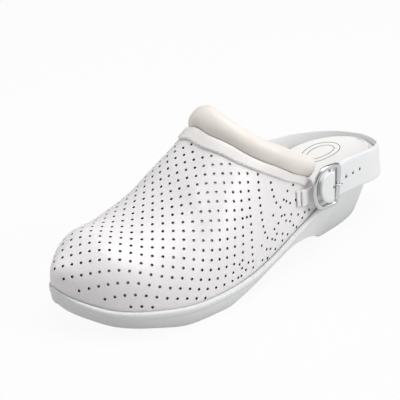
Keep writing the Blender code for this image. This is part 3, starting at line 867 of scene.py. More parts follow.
def leather_grain_group() -> bpy.types.NodeTree:
    """Grain of leather: pebbles with creases between them, pores and a slow swell.

    Returns:
        The group, with Height and Tone as outputs.
    """
    group = Group("leather_grain", {"Pebbles": 1100.0, "Swell": 60.0, "Crease": 0.5}, ("Height", "Tone"))
    place = group.node("ShaderNodeTexCoord")
    bend = group.node("ShaderNodeTexNoise")
    bend.inputs["Scale"].default_value = 260.0
    bend.inputs["Detail"].default_value = 2.0
    group.link(place.outputs["Object"], bend.inputs["Vector"])
    pull = group.node("ShaderNodeVectorMath", operation="SCALE")
    pull.inputs["Scale"].default_value = 0.0012
    group.link(bend.outputs["Color"], pull.inputs[0])
    moved = group.node("ShaderNodeVectorMath", operation="ADD")
    group.link(place.outputs["Object"], moved.inputs[0])
    group.link(pull.outputs["Vector"], moved.inputs[1])
    cells = group.node("ShaderNodeTexVoronoi", feature="DISTANCE_TO_EDGE")
    group.link(moved.outputs["Vector"], cells.inputs["Vector"])
    group.link(group.entry.outputs["Pebbles"], cells.inputs["Scale"])
    pebble = group.node("ShaderNodeMapRange", interpolation_type="SMOOTHSTEP")
    pebble.inputs["From Max"].default_value = 0.28
    group.link(cells.outputs["Distance"], pebble.inputs["Value"])
    fine = group.node("ShaderNodeTexNoise")
    fine.inputs["Detail"].default_value = 3.0
    group.link(place.outputs["Object"], fine.inputs["Vector"])
    group.link(group.math("MULTIPLY", group.entry.outputs["Pebbles"], 1.7), fine.inputs["Scale"])
    slow = group.node("ShaderNodeTexNoise")
    slow.inputs["Detail"].default_value = 1.0
    group.link(place.outputs["Object"], slow.inputs["Vector"])
    group.link(group.entry.outputs["Swell"], slow.inputs["Scale"])
    grain = group.math("MULTIPLY", pebble.outputs["Result"], group.entry.outputs["Crease"])
    fine_part = group.math("MULTIPLY", fine.outputs[0], 0.35)
    slow_out = slow.outputs[0]
    height = group.math("ADD", grain, fine_part)
    height = group.math("ADD", height, group.math("MULTIPLY", slow_out, 1.2))
    group.link(height, group.exit.inputs["Height"])
    tone = group.math("ADD", group.math("MULTIPLY", slow_out, 0.6),
                      group.math("MULTIPLY", pebble.outputs["Result"], 0.4))
    group.link(tone, group.exit.inputs["Tone"])
    return group.tree


def handling_group() -> bpy.types.NodeTree:
    """Faint soiling in broad soft patches.

    Returns:
        The group, with Patches as output.
    """
    group = Group("handling", {"Patch size": 30.0}, ("Patches",))
    place = group.node("ShaderNodeTexCoord")
    noise = group.node("ShaderNodeTexNoise")
    noise.inputs["Detail"].default_value = 4.0
    group.link(place.outputs["Object"], noise.inputs["Vector"])
    group.link(group.entry.outputs["Patch size"], noise.inputs["Scale"])
    mask = group.node("ShaderNodeMapRange", interpolation_type="SMOOTHSTEP")
    mask.inputs["From Min"].default_value = 0.42
    mask.inputs["From Max"].default_value = 0.72
    group.link(noise.outputs[0], mask.inputs["Value"])
    group.link(mask.outputs["Result"], group.exit.inputs["Patches"])
    return group.tree


@dataclass(frozen=True)
class Finish:
    """A finish with grain in relief, tone and gloss."""

    name: str
    light: Colour
    dark: Colour
    roughness: float
    rough_swing: float = 0.06
    relief: float = 0.00004
    pebbles: float = 1100.0
    swell: float = 60.0
    crease: float = 0.5
    soil: float = 0.05
    coat: float = 0.0
    coat_roughness: float = 0.3
    metallic: float = 0.0

    def make(self, grain: bpy.types.NodeTree, handling: bpy.types.NodeTree) -> bpy.types.Material:
        """Builds the material.

        Args:
            grain: The shared grain.
            handling: The shared soiling.

        Returns:
            The material.
        """
        material = bpy.data.materials.new(self.name)
        material.use_nodes = True
        nodes, links = material.node_tree.nodes, material.node_tree.links
        shader = nodes["Principled BSDF"]
        shader.inputs["Metallic"].default_value = self.metallic
        shader.inputs["Coat Weight"].default_value = self.coat
        shader.inputs["Coat Roughness"].default_value = self.coat_roughness
        texture = nodes.new("ShaderNodeGroup")
        texture.node_tree = grain
        texture.inputs["Pebbles"].default_value = self.pebbles
        texture.inputs["Swell"].default_value = self.swell
        texture.inputs["Crease"].default_value = self.crease
        dirt = nodes.new("ShaderNodeGroup")
        dirt.node_tree = handling
        colour = nodes.new("ShaderNodeMix")
        colour.data_type = "RGBA"
        colour.inputs["A"].default_value = (*self.dark, 1.0)
        colour.inputs["B"].default_value = (*self.light, 1.0)
        links.new(texture.outputs["Tone"], colour.inputs["Factor"])
        soiled = nodes.new("ShaderNodeMix")
        soiled.data_type = "RGBA"
        soiled.inputs["B"].default_value = (0.50, 0.48, 0.45, 1.0)
        amount = nodes.new("ShaderNodeMath")
        amount.operation = "MULTIPLY"
        amount.inputs[1].default_value = self.soil
        links.new(dirt.outputs["Patches"], amount.inputs[0])
        links.new(amount.outputs[0], soiled.inputs["Factor"])
        links.new(colour.outputs["Result"], soiled.inputs["A"])
        links.new(soiled.outputs["Result"], shader.inputs["Base Color"])
        gloss = nodes.new("ShaderNodeMapRange")
        gloss.inputs["To Min"].default_value = self.roughness + self.rough_swing
        gloss.inputs["To Max"].default_value = self.roughness - self.rough_swing
        links.new(texture.outputs["Tone"], gloss.inputs["Value"])
        links.new(gloss.outputs["Result"], shader.inputs["Roughness"])
        bump = nodes.new("ShaderNodeBump")
        bump.inputs["Distance"].default_value = self.relief
        links.new(texture.outputs["Height"], bump.inputs["Height"])
        links.new(bump.outputs["Normal"], shader.inputs["Normal"])
        return material


FINISHES = (
    Finish("white_leather", (0.900, 0.882, 0.886), (0.860, 0.840, 0.845), 0.34, coat=0.12, soil=0.04),
    Finish("lining_leather", (0.840, 0.830, 0.810), (0.780, 0.765, 0.740), 0.55, relief=0.00003, soil=0.10),
    Finish("cut_edge", (0.700, 0.690, 0.680), (0.600, 0.590, 0.580), 0.70, relief=0.00005, pebbles=2600.0),
    # Hole walls: near black, painted shade for the dark inside of the punched holes, not the leather's own
    # colour
    Finish("punched_wall_painted_shade", (0.090, 0.088, 0.086), (0.050, 0.050, 0.050), 0.85, relief=0.00004,
           pebbles=3200.0),
    Finish("collar_leather", (0.900, 0.850, 0.800), (0.860, 0.800, 0.745), 0.38, relief=0.00005,
           pebbles=900.0, swell=90.0, coat=0.08, soil=0.06),
    Finish("band_leather", (0.890, 0.860, 0.850), (0.850, 0.815, 0.805), 0.36, coat=0.10),
    Finish("strap_leather", (0.880, 0.885, 0.890), (0.845, 0.850, 0.860), 0.36, coat=0.10, soil=0.05),
    Finish("insole_leather", (0.870, 0.862, 0.845), (0.825, 0.815, 0.800), 0.46, relief=0.00004,
           pebbles=1300.0, soil=0.06),
    Finish("sole_foam", (0.800, 0.805, 0.810), (0.760, 0.765, 0.770), 0.42, relief=0.00003, pebbles=2200.0,
           crease=0.25, soil=0.10),
    Finish("thread", (0.880, 0.870, 0.860), (0.800, 0.790, 0.780), 0.60, relief=0.00004, pebbles=3600.0),
    Finish("polished_metal", (0.740, 0.755, 0.765), (0.640, 0.655, 0.670), 0.14, rough_swing=0.03,
           relief=0.000004, pebbles=700.0, metallic=1.0, soil=0.02),
    Finish("printed_mark", (0.240, 0.240, 0.245), (0.160, 0.160, 0.165), 0.60, relief=0.00003, soil=0.02),
    Finish("studio_floor", (0.700, 0.700, 0.700), (0.685, 0.685, 0.685), 0.80, relief=0.00002, pebbles=300.0,
           swell=4.0, soil=0.0),
)


@dataclass
class Sheet:
    """A sheet of leather with holes, made flat and then lifted onto the last."""

    name: str
    lift: Callable[[Array, Array], tuple[Array, Array]]
    thickness: float
    rounding: float = 0.00025
    rim: float = 1.38
    nudge: float = 0.0004
    lean: float = 0.8
    sides: int = 12

    def ring(self, centre: Array, radius: float) -> Array:
        """Flat outline of holes that are round on the lifted sheet.

        Args:
            centre: Flat places of the centres.
            radius: Radius on the sheet.

        Returns:
            One ring of flat places for each centre.
        """
        zero = np.zeros(len(centre))
        normal = self.lift(centre, zero)[1]
        steps = ((self.nudge, 0.0), (0.0, self.nudge))
        along, over = ((self.lift(centre + step, zero)[0] - self.lift(centre - step, zero)[0])
                       / (2.0 * self.nudge) for step in steps)
        first = unit(along)
        second = np.cross(normal, first)
        a, b, d = (along * along).sum(1), (along * over).sum(1), (over * over).sum(1)
        size = a * d - b * b
        rings = []
        for angle in angles(self.sides):
            step = radius * (math.cos(angle) * first + math.sin(angle) * second)
            p, q = (step * along).sum(1), (step * over).sum(1)
            rings.append(centre + np.stack([(p * d - q * b) / size, (q * a - p * b) / size], axis=1))
        return np.stack(rings, axis=1)

    def cut_flat(self, flat: Array, loops: Sequence[Array], owner: Array, outline: Array) -> Array:
        """Triangles of the flat sheet between its edge and its holes.

        Args:
            flat: All flat places.
            loops: Closed loops of places that stay edges.
            owner: Hole that each place is on the mouth of, or -1.
            outline: The sheet's edge.

        Returns:
            Corners of the triangles.
        """
        edges = [(int(a), int(b)) for loop in loops for a, b in zip(loop, np.roll(loop, -1))]
        result = delaunay_2d_cdt([Vector(place) for place in flat], edges, [], 0, 1e-9)
        origin = [source[0] if source else -1 for source in result[3]]
        faces = np.array([[origin[corner] for corner in face] for face in result[2] if len(face) == 3])
        faces = faces[(faces >= 0).all(axis=1)]
        own = owner[faces]
        faces = faces[~((own[:, 0] >= 0) & (own[:, 0] == own[:, 1]) & (own[:, 1] == own[:, 2]))]
        return faces[inside(flat[faces].mean(axis=1), outline)]

    def close(self, faces: Array, fold: Array,
              total: int) -> tuple[list[tuple[int, ...]], list[tuple[int, ...]]]:
        """Faces that join the two sides of the sheet along its borders and shut the fold at the toe.

        Args:
            faces: Triangles of the outer side, turned outwards.
            fold: Places along the fold, from one end of it to the other.
            total: Number of flat places.

        Returns:
            Faces of the walls, and faces across the fold.
        """
        edges = np.concatenate([faces[:, [0, 1]], faces[:, [1, 2]], faces[:, [2, 0]]])
        key = edges.min(axis=1) * total + edges.max(axis=1)
        _, index, counts = np.unique(key, return_index=True, return_counts=True)
        place = {int(at): k for k, at in enumerate(fold)}
        middle, last = len(fold) // 2, len(fold) - 1
        walls, bridge = [], []
        for a, b in edges[index[counts == 1]].tolist():
            if a not in place or b not in place:
                walls.append((b, a, a + total, b + total))
                continue
            if max(place[a], place[b]) > middle:
                continue
            over_a, over_b = int(fold[last - place[a]]), int(fold[last - place[b]])
            outer = (b, a, over_a, over_b)
            inner = (a + total, b + total, over_b + total, over_a + total)
            bridge += [tuple(dict.fromkeys(outer)), tuple(dict.fromkeys(inner))]
            if place[a] == 0:
                walls.append((over_a, a, a + total, over_a + total))
            if place[b] == 0:
                walls.append((b, over_b, over_b + total, b + total))
        return walls, bridge

    def build(self, outline: Array, support: Array, fold: Array, holes: Array, radius: float,
              fillers: Array) -> bpy.types.Object:
        """Cuts the sheet, lifts it and shuts it into a closed solid.

        Args:
            outline: Its closed edge.
            support: A loop just inside that edge, where its rounding starts.
            fold: Places of the outline along the fold at the toe.
            holes: Centres of the holes.
            radius: Radius of the holes.
            fillers: Further flat places that carry its shape.

        Returns:
            The sheet.
        """
        rims, mouths = self.ring(holes, radius * self.rim), self.ring(holes, radius)
        n, count, sides = len(outline), len(holes), self.sides
        first = 2 * n + count * sides
        flat = np.concatenate([outline, support, rims.reshape(-1, 2), mouths.reshape(-1, 2), fillers])
        total = len(flat)
        mouth = np.arange(first, first + count * sides)
        depth, owner = np.zeros(total), np.full(total, -1)
        depth[:n] = self.rounding
        depth[fold] = 0.0
        depth[mouth] = self.rounding * 0.6
        owner[mouth] = np.repeat(np.arange(count), sides)
        loops = [np.arange(n), np.arange(n, 2 * n)]
        loops += [np.arange(2 * n + k * sides, 2 * n + (k + 1) * sides) for k in range(2 * count)]
        faces = self.cut_flat(flat, loops, owner, outline)
        points, normals = self.lift(flat, depth)
        under, _ = self.lift(flat, np.full(total, self.thickness) - depth * 0.5)
        a, b, c = (points[faces[:, k]] for k in range(3))
        if (np.cross(b - a, c - a) * normals[faces[:, 0]]).sum() < 0.0:
            faces = faces[:, ::-1]
        tilt = np.zeros((total, 3))
        tilt[mouth] = unit(points[mouth - count * sides] - points[mouth])
        tilt[:n] = unit(points[:n] - points[n:2 * n])
        tilt[fold] = 0.0
        walls, bridge = self.close(faces, fold, total)
        every = [tuple(face) for face in faces.tolist()]
        every += [tuple(face) for face in (faces[:, ::-1] + total).tolist()]
        slots = [Skin.OUTER.value] * len(faces) + [Skin.INNER.value] * len(faces)
        for face in walls:
            every.append(face)
            slots.append(Skin.HOLE.value if owner[face[0]] >= 0 else Skin.EDGE.value)
        for face in bridge:
            every.append(face)
            slots.append(Skin.OUTER.value if face[0] < total else Skin.INNER.value)
        item = make_object(self.name, np.concatenate([points, under]), every, slots)
        flat_normals = np.array([polygon.normal for polygon in item.data.polygons])
        lean = []
        for face, slot, straight in zip(every, slots, flat_normals):
            at = np.array(face) % total
            if slot == Skin.OUTER.value:
                outward = np.where(at < n, self.lean, 0.0) - np.where(owner[at] >= 0, self.lean, 0.0)
                lean.append(unit(normals[at] + outward[:, None] * tilt[at]))
            elif slot == Skin.INNER.value:
                lean.append(-normals[at])
            else:
                lean.append(np.repeat(straight[None], len(face), axis=0))
        item.data.normals_split_custom_set(np.concatenate(lean).tolist())
        report_closed(item)
        return item


def report_closed(item: bpy.types.Object) -> None:
    """Logs how many edges of a mesh do not have two faces."""
    shell = bmesh.new()
    shell.from_mesh(item.data)
    LOG.info("%s: %d open or crossed edges", item.name, sum(not edge.is_manifold for edge in shell.edges))
    shell.free()


@dataclass(frozen=True)
class Crease:
    """A soft trough or ridge in the leather, placed by reach and girth."""

    reach: float
    girth: float
    turn: float
    long: float
    wide: float
    depth: float

    def relief(self, flat: Array) -> Array:
        """How far it sinks each flat place, negative where it rises."""
        x, y = flat[:, 0] - self.reach, flat[:, 1] - self.girth
        along = x * math.cos(self.turn) + y * math.sin(self.turn)
        across = y * math.cos(self.turn) - x * math.sin(self.turn)
        return self.depth * np.exp(-(along / self.long) ** 2 - (across / self.wide) ** 2)


@dataclass
class Upper:
    """Perforated vamp and quarters in one hollow wall of leather."""

    last: Last
    finishes: dict[str, bpy.types.Material]
    pattern: Perforation = field(default_factory=Perforation)
    margin: float = 0.0017
    rear_margin: float = 0.0030
    band: float = 0.0300
    band_start: float = 0.26
    fold_gap: float = 0.03
    nearest: float = 0.0034
    rear_reach: float = 0.03
    support: float = 0.0006
    filler_margin: float = 0.0014
    filler_gap: float = 0.0005
    nudge: float = 0.0004
    turn_step: float = 0.01
    creases: tuple[Crease, ...] = (
        Crease(0.100, 0.020, 1.25, 0.030, 0.0065, 0.00030),
        Crease(0.112, 0.026, 1.30, 0.026, 0.0060, -0.00022),
        Crease(0.122, -0.010, 1.62, 0.034, 0.0080, 0.00024),
        Crease(0.100, -0.030, 1.85, 0.026, 0.0065, 0.00026),
        Crease(0.150, 0.030, 0.35, 0.030, 0.0120, 0.00022),
        Crease(0.168, -0.022, 2.70, 0.026, 0.0110, 0.00020),
        Crease(0.070, 0.052, 0.95, 0.022, 0.0070, 0.00026),
    )

    def relief(self, flat: Array) -> Array:
        """How far the creases sink each flat place."""
        return sum(crease.relief(flat) for crease in self.creases)

    def lift(self, flat: Array, depth: Array) -> tuple[Array, Array]:
        """Points of the sheet at a depth under its outer face, and their outward directions.

        Args:
            flat: Flat places.
            depth: How deep under the outer face.

        Returns:
            Points and directions.
        """
        share, turn = self.flat.lift(flat)
        normals = self.last.normal(share, turn)
        points = self.last.upper(share, turn) - normals * (depth + self.relief(flat))[:, None]
        along, across = ((self.relief(flat + step) - self.relief(flat - step)) / (2.0 * self.nudge)
                         for step in ((self.nudge, 0.0), (0.0, self.nudge)))
        outer = unit(self.last.upper(share, np.maximum(turn - self.turn_step, 0.0))
                     - self.last.upper(share, np.minimum(turn + self.turn_step, math.pi)))
        ahead = np.cross(outer, normals)
        return points, unit(normals + ahead * along[:, None] + outer * across[:, None])

    def edge(self) -> tuple[Array, Array]:
        """Closed edge of the upper in its flat lay.

        Returns:
            Flat places along it, and which of them are on the fold at the toe.
        """
        end = math.pi - self.fold_gap
        feather = np.linspace(float(turn_of(self.last.topline(0.0))), end, 90)
        ends = np.linspace(0.0, math.pi, 15)
        over = np.linspace(math.pi, 0.0, 152)[1:-1]
        share = np.concatenate([share_of(feather[:-1]), np.full(len(ends), share_of(end)),
                                share_of(feather[-2::-1]), self.last.topline(over)])
        turn = np.concatenate([np.zeros(len(feather) - 1), ends, np.full(len(feather) - 1, math.pi), over])
        fold = np.arange(len(feather) - 1, len(feather) - 1 + len(ends))
        return self.flat.lay(share, turn), fold

    def punched(self, outline: Array) -> Array:
        """Centres of the holes that lie clear of the edges and of the collar band."""
        holes = self.pattern.lattice(1)
        share, turn = self.flat.lift(holes)
        low = np.minimum(turn, math.pi - turn)
        over = share - self.last.topline(turn)
        clear = clearance(holes, outline)
        fits = inside(holes, outline) & (clear > self.margin)
        fits &= (over > self.band) | (low < self.band_start)
        fits &= (clear > self.rear_margin) | (over > self.rear_reach)
        kept: list[Array] = []
        for place in holes[fits]:
            if all(np.hypot(*(place - other)) > self.nearest for other in kept):
                kept.append(place)
        return np.array(kept)

    def build(self) -> bpy.types.Object:
        """Makes the perforated wall."""
        self.flat = Flat(self.last)
        outline, fold = self.edge()
        side = np.roll(outline, -1, axis=0) - np.roll(outline, 1, axis=0)
        inward = unit(np.stack([-side[:, 1], side[:, 0]], axis=1))
        if not inside(outline[:1] + inward[:1] * self.support, outline)[0]:
            inward = -inward
        support = outline + inward * self.support
        holes = self.punched(outline)
        fillers = self.pattern.lattice(2)
        fillers = fillers[inside(fillers, outline) & (clearance(fillers, outline) > self.filler_margin)]
        near = np.array([np.hypot(*(holes - place).T).min() for place in fillers])
        fillers = fillers[near > self.pattern.radius * Sheet.rim + self.filler_gap]
        LOG.info("perforations: %d, further places: %d", len(holes), len(fillers))
        item = Sheet("vamp", self.lift, self.last.leather).build(
            outline, support, fold, holes, self.pattern.radius, fillers)
        # The last slot, for the hole walls, takes the near-black painted shade
        names = ("white_leather", "lining_leather", "cut_edge", "punched_wall_painted_shade")
        return show(item, [self.finishes[name] for name in names], ["upper"])


def puff(item: bpy.types.Object, pinned: Sequence[int], pressure: float, cap: float, frames: int = 20,
         scale: float = 20.0) -> None:
    """Swells a padded piece by a cloth simulation, held at its seam, and keeps the result.

    Args:
        item: The piece.
        pinned: Points on the seam, which stay.
        pressure: Pressure inside it.
        cap: Furthest that a point may move.
        frames: Length of the simulation.
        scale: How much larger the copy is that the simulation runs on.
    """
    count = len(item.data.vertices)
    rest = np.zeros(count * 3)
    item.data.vertices.foreach_get("co", rest)
    rest = rest.reshape(-1, 3)
    copy = item.copy()
    copy.data = item.data.copy()
    copy.data.vertices.foreach_set("co", (rest * scale).ravel())
    bpy.context.scene.collection.objects.link(copy)
    seam = copy.vertex_groups.new(name="seam")
    seam.add(list(pinned), 1.0, "REPLACE")
    cloth = copy.modifiers.new("cloth", "CLOTH")
    cloth.settings.effector_weights.gravity = 0.0
    cloth.settings.use_pressure = True
    cloth.settings.uniform_pressure_force = pressure
    cloth.settings.vertex_group_mass = "seam"
    cloth.point_cache.frame_start, cloth.point_cache.frame_end = 1, frames
    for frame_number in range(1, frames + 1):
        bpy.context.scene.frame_set(frame_number)
    mesh = copy.evaluated_get(bpy.context.evaluated_depsgraph_get()).to_mesh()
    swollen = np.zeros(count * 3)
    mesh.vertices.foreach_get("co", swollen)
    bpy.data.objects.remove(copy)
    bpy.context.scene.frame_set(1)
    move = swollen.reshape(-1, 3) / scale - rest
    reach = np.linalg.norm(move, axis=1, keepdims=True)
    LOG.info("%s: the simulation moved points by up to %.2f mm", item.name, 1000.0 * float(reach.max()))
    move *= cap * np.tanh(reach / cap) / np.maximum(reach, 1e-12)
    item.data.vertices.foreach_set("co", (rest + move).ravel())
    item.data.update()


@dataclass
class Collar:
    """Padded roll on the topline and the smooth band sewn on below it."""

    last: Last
    finishes: dict[str, bpy.types.Material]
    thick: float = 0.0092
    tall: float = 0.0136
    crest: float = 0.0162
    start: float = 0.275
    ease: float = 0.15
    band_thick: float = 0.0010
    band_share: float = 0.0255
    band_start: float = 0.26
    pucker: float = 0.00010
    pucker_pitch: float = 0.0042
    pressure: float = 5.0
    swell_cap: float = 0.0010
    stations: int = 200
    sides: int = 40
    seam_sides: tuple[int, int] = (26, 34)
    end_round: float = 0.0055
    end_size: float = 0.38
    seam_draw: float = 0.34
    band_stations: int = 180
    band_gap: float = 0.001
    band_slip: float = 0.4
    stitch_end: float = 0.015
    stitch_stations: int = 400

    def topline(self, turn: Array) -> tuple[Array, Array, Array]:
        """Points on the topline with the outward and upward directions there."""
        point = self.last.upper(self.last.topline(turn), turn)
        normal = self.last.normal(self.last.topline(turn), turn)
        ahead = self.last.upper(self.last.topline(turn + self.ease), turn + self.ease)
        behind = self.last.upper(self.last.topline(turn - self.ease), turn - self.ease)
        upward = unit(np.cross(unit(ahead - behind), normal))
        return point, normal, upward * np.sign(upward[:, 2:3])

    def build_roll(self) -> bpy.types.Object:
        """Makes the padded roll, round above and drawn in at its seam."""
        share = np.linspace(0.0, 1.0, self.stations + 1)
        turn = self.start + (math.pi - 2.0 * self.start) * share
        point, normal, upward = self.topline(turn)
        run = run_along(point)
        end = np.clip(np.minimum(run, run[-1] - run) / self.end_round, 0.0, 1.0)
        full = np.sqrt(np.clip(1.0 - (1.0 - end) ** 2, 0.0, 1.0)) * (1.0 - self.end_size) + self.end_size
        tall = full * (self.tall + (self.crest - self.tall) * np.sin(math.pi * share) ** 6)
        lift = tall / 2.0 + self.last.slip
        centre = point - normal * self.last.leather / 2.0 + upward * lift[:, None]
        angle = angles(self.sides)
        low = np.clip(-np.sin(angle), 0.0, 1.0)
        rings = []
        for i in range(self.stations + 1):
            across = np.cos(angle) * self.thick * full[i] / 2.0
            along = np.sin(angle) * tall[i] / 2.0
            across *= 1.0 - self.seam_draw * low ** 3
            wave = self.pucker * math.sin(2.0 * math.pi * run[i] / self.pucker_pitch) * low ** 2
            across += np.sign(np.cos(angle)) * wave
            rings.append(centre[i] + normal[i] * across[:, None] + upward[i] * along[:, None])
        roll = sweep("collar_roll", rings)
        first, last = self.seam_sides
        seam = [i * self.sides + k for i in range(self.stations + 1) for k in range(self.sides)
                if first <= k <= last or i in (0, self.stations)]
        puff(roll, seam, self.pressure, self.swell_cap)
        show(roll, [self.finishes["collar_leather"]], ["collar"])
        return roll

    def build_band(self) -> bpy.types.Object:
        """Makes the smooth band under the roll, with a rounded lower edge."""
        turn = np.linspace(self.band_start, math.pi - self.band_start, self.band_stations + 1)
        profile = table(
            "across lift",
            (0.00, 0.00), (0.00, 0.45), (0.03, 0.80), (0.08, 1.00), (0.35, 1.00), (0.65, 1.00), (0.85, 1.00),
            (0.95, 0.92), (0.99, 0.60), (1.00, 0.25), (1.00, 0.00), (0.65, 0.00), (0.35, 0.00),
        )
        over = self.last.topline(turn)
        rings = []
        for angle, start in zip(turn, over):
            share = start + self.band_gap + self.band_share * profile["across"]
            around = np.full(len(share), angle)
            lift = self.last.slip * self.band_slip + self.band_thick * profile["lift"]
            rings.append(self.last.upper(share, around) + self.last.normal(share, around) * lift[:, None])
        band = sweep("collar_band_cover", rings)
        return show(band, [self.finishes["band_leather"]], ["collar_band"])

    def band_line(self, across: float) -> tuple[Array, Array]:
        """Line along the band at a share of its width, with its outward directions."""
        first = self.band_start + self.stitch_end
        turn = np.linspace(first, math.pi - first, self.stitch_stations)
        share = self.last.topline(turn) + self.band_gap + self.band_share * across
        normal = self.last.normal(share, turn)
        lift = self.last.slip * self.band_slip + self.band_thick
        return self.last.upper(share, turn) + normal * lift, normal


@dataclass
class HeelStrap:
    """Strap from the medial quarter round the heel into the buckle."""

    last: Last
    finishes: dict[str, bpy.types.Material]
    rise: float = 0.0500
    stand: float = 0.0044
    thick: float = 0.0016
    lap: float = 0.0008
    shoulder: float = 0.304
    holes: tuple[float, ...] = (0.294, 0.226, 0.197, 0.167)
    hole_height: float = 0.0446
    hole_radius: float = 0.0009
    prong_hole: float = 0.0013
    punch_sides: int = 24
    punch_reach: tuple[float, float] = (-0.004, 0.009)
    medial_end: float = 0.385
    tip: float = 0.342
    dense_from: float = 0.25
    on_upper: float = 0.30
    wall_steps: int = 400
    tip_blunt: float = 0.85

    def __post_init__(self) -> None:
        """Makes the smooth columns of both sides."""
        self.sides = {side: {name: along_shoe(columns, name) for name in ("top", "bottom", "over", "under")}
                      for side, columns in ((Side.LATERAL, STRAP_LATERAL), (Side.MEDIAL, STRAP_MEDIAL))}

    def upper_stand(self, share: float, height: float) -> float:
        """How far the medial face of the upper stands out from the bead's outline at a height."""
        turns = math.pi - np.linspace(0.0, math.pi / 2.0, self.wall_steps)
        wall = self.last.upper(np.full(self.wall_steps, share), turns) - self.last.shift
        at = min(int(np.searchsorted(wall[:, 2], height)), self.wall_steps - 1)
        x, y = self.last.footprint(share, -1.0, 0.0)
        return -math.hypot(wall[at, 0] - float(x), wall[at, 1] - float(y))

    def section(self, station: float, narrow: float) -> Array:
        """Closed ring across the strap at a turn from the heel, negative on the medial side.

        Args:
            station: The turn.
            narrow: Share of its full height.

        Returns:
            Its points.
        """
        side = Side.LATERAL if station >= 0.0 else Side.MEDIAL
        share = float(share_of(abs(station)))
        columns = self.sides[side]
        top, bottom = (self.rise * float(columns[name](share)) for name in ("top", "bottom"))
        over, under = (self.stand * float(columns[name](share)) for name in ("over", "under"))
        middle, half = (top + bottom) / 2.0, (top - bottom) / 2.0 * narrow
        profile = table(
            "up out",
            (0.000, 0.15), (0.012, 0.60), (0.040, 0.90), (0.090, 1.00), (0.200, 1.00), (0.350, 1.00),
            (0.500, 1.00), (0.650, 1.00), (0.800, 1.00), (0.910, 1.00), (0.960, 0.90), (0.988, 0.60),
            (1.000, 0.15), (0.975, 0.00), (0.800, 0.00), (0.500, 0.00), (0.200, 0.00), (0.025, 0.00),
        )
        points = []
        for up, out in zip(profile["up"], profile["out"]):
            height = middle + half * (2.0 * up - 1.0)
            whole = (height - bottom) / (top - bottom)
            stand = under + (over - under) * whole
            if side is Side.MEDIAL and share > self.on_upper:
                stand = max(stand, self.upper_stand(share, height) + self.lap)
            points.append(self.last.wall(share, side.value, stand + self.thick * out, height))
        return np.array(points)

    def build(self, crossing: Array) -> bpy.types.Object:
        """Makes the strap with its rounded end and punches its holes.

        Args:
            crossing: Where the prong goes through it.

        Returns:
            The strap.
        """
        medial_end, dense, shoulder, tip = (
            float(turn_of(share)) for share in (self.medial_end, self.dense_from, self.shoulder, self.tip))
        stations = list(np.linspace(-medial_end, dense, 150))
        stations += list(np.linspace(dense, shoulder, 24))[1:]
        widths = [1.0] * len(stations)
        for angle in np.radians(np.linspace(6.0, 84.0, 14)):
            stations.append(shoulder + (tip - shoulder) * math.sin(angle))
            widths.append(math.cos(angle) ** self.tip_blunt)
        strap = sweep("heel_strap_cover", [self.section(s, w) for s, w in zip(stations, widths)])
        strap.data.materials.append(self.finishes["strap_leather"])
        punches = [(share, self.hole_height, self.hole_radius) for share in self.holes]
        local = crossing - self.last.shift
        punches.append((local[0] / self.last.length, local[2], self.prong_hole))
        upward = np.array((0.0, 0.0, 1.0))
        for share, height, radius in punches:
            edge = self.last.wall(share, 1.0, 0.0, height)
            outward = unit(self.last.wall(share, 1.0, 0.01, height) - edge)
            mouth = radius * circle(self.punch_sides, np.cross(outward, upward), upward)
            punch = sweep("punch", [edge + outward * stand + mouth for stand in self.punch_reach])
            # The punched walls take the near-black painted shade of the holes' insides
            punch.data.materials.append(self.finishes["punched_wall_painted_shade"])
            cut_away(strap, punch, "TRANSFER")
        report_closed(strap)
        return show(strap, [], ["heel_strap"])


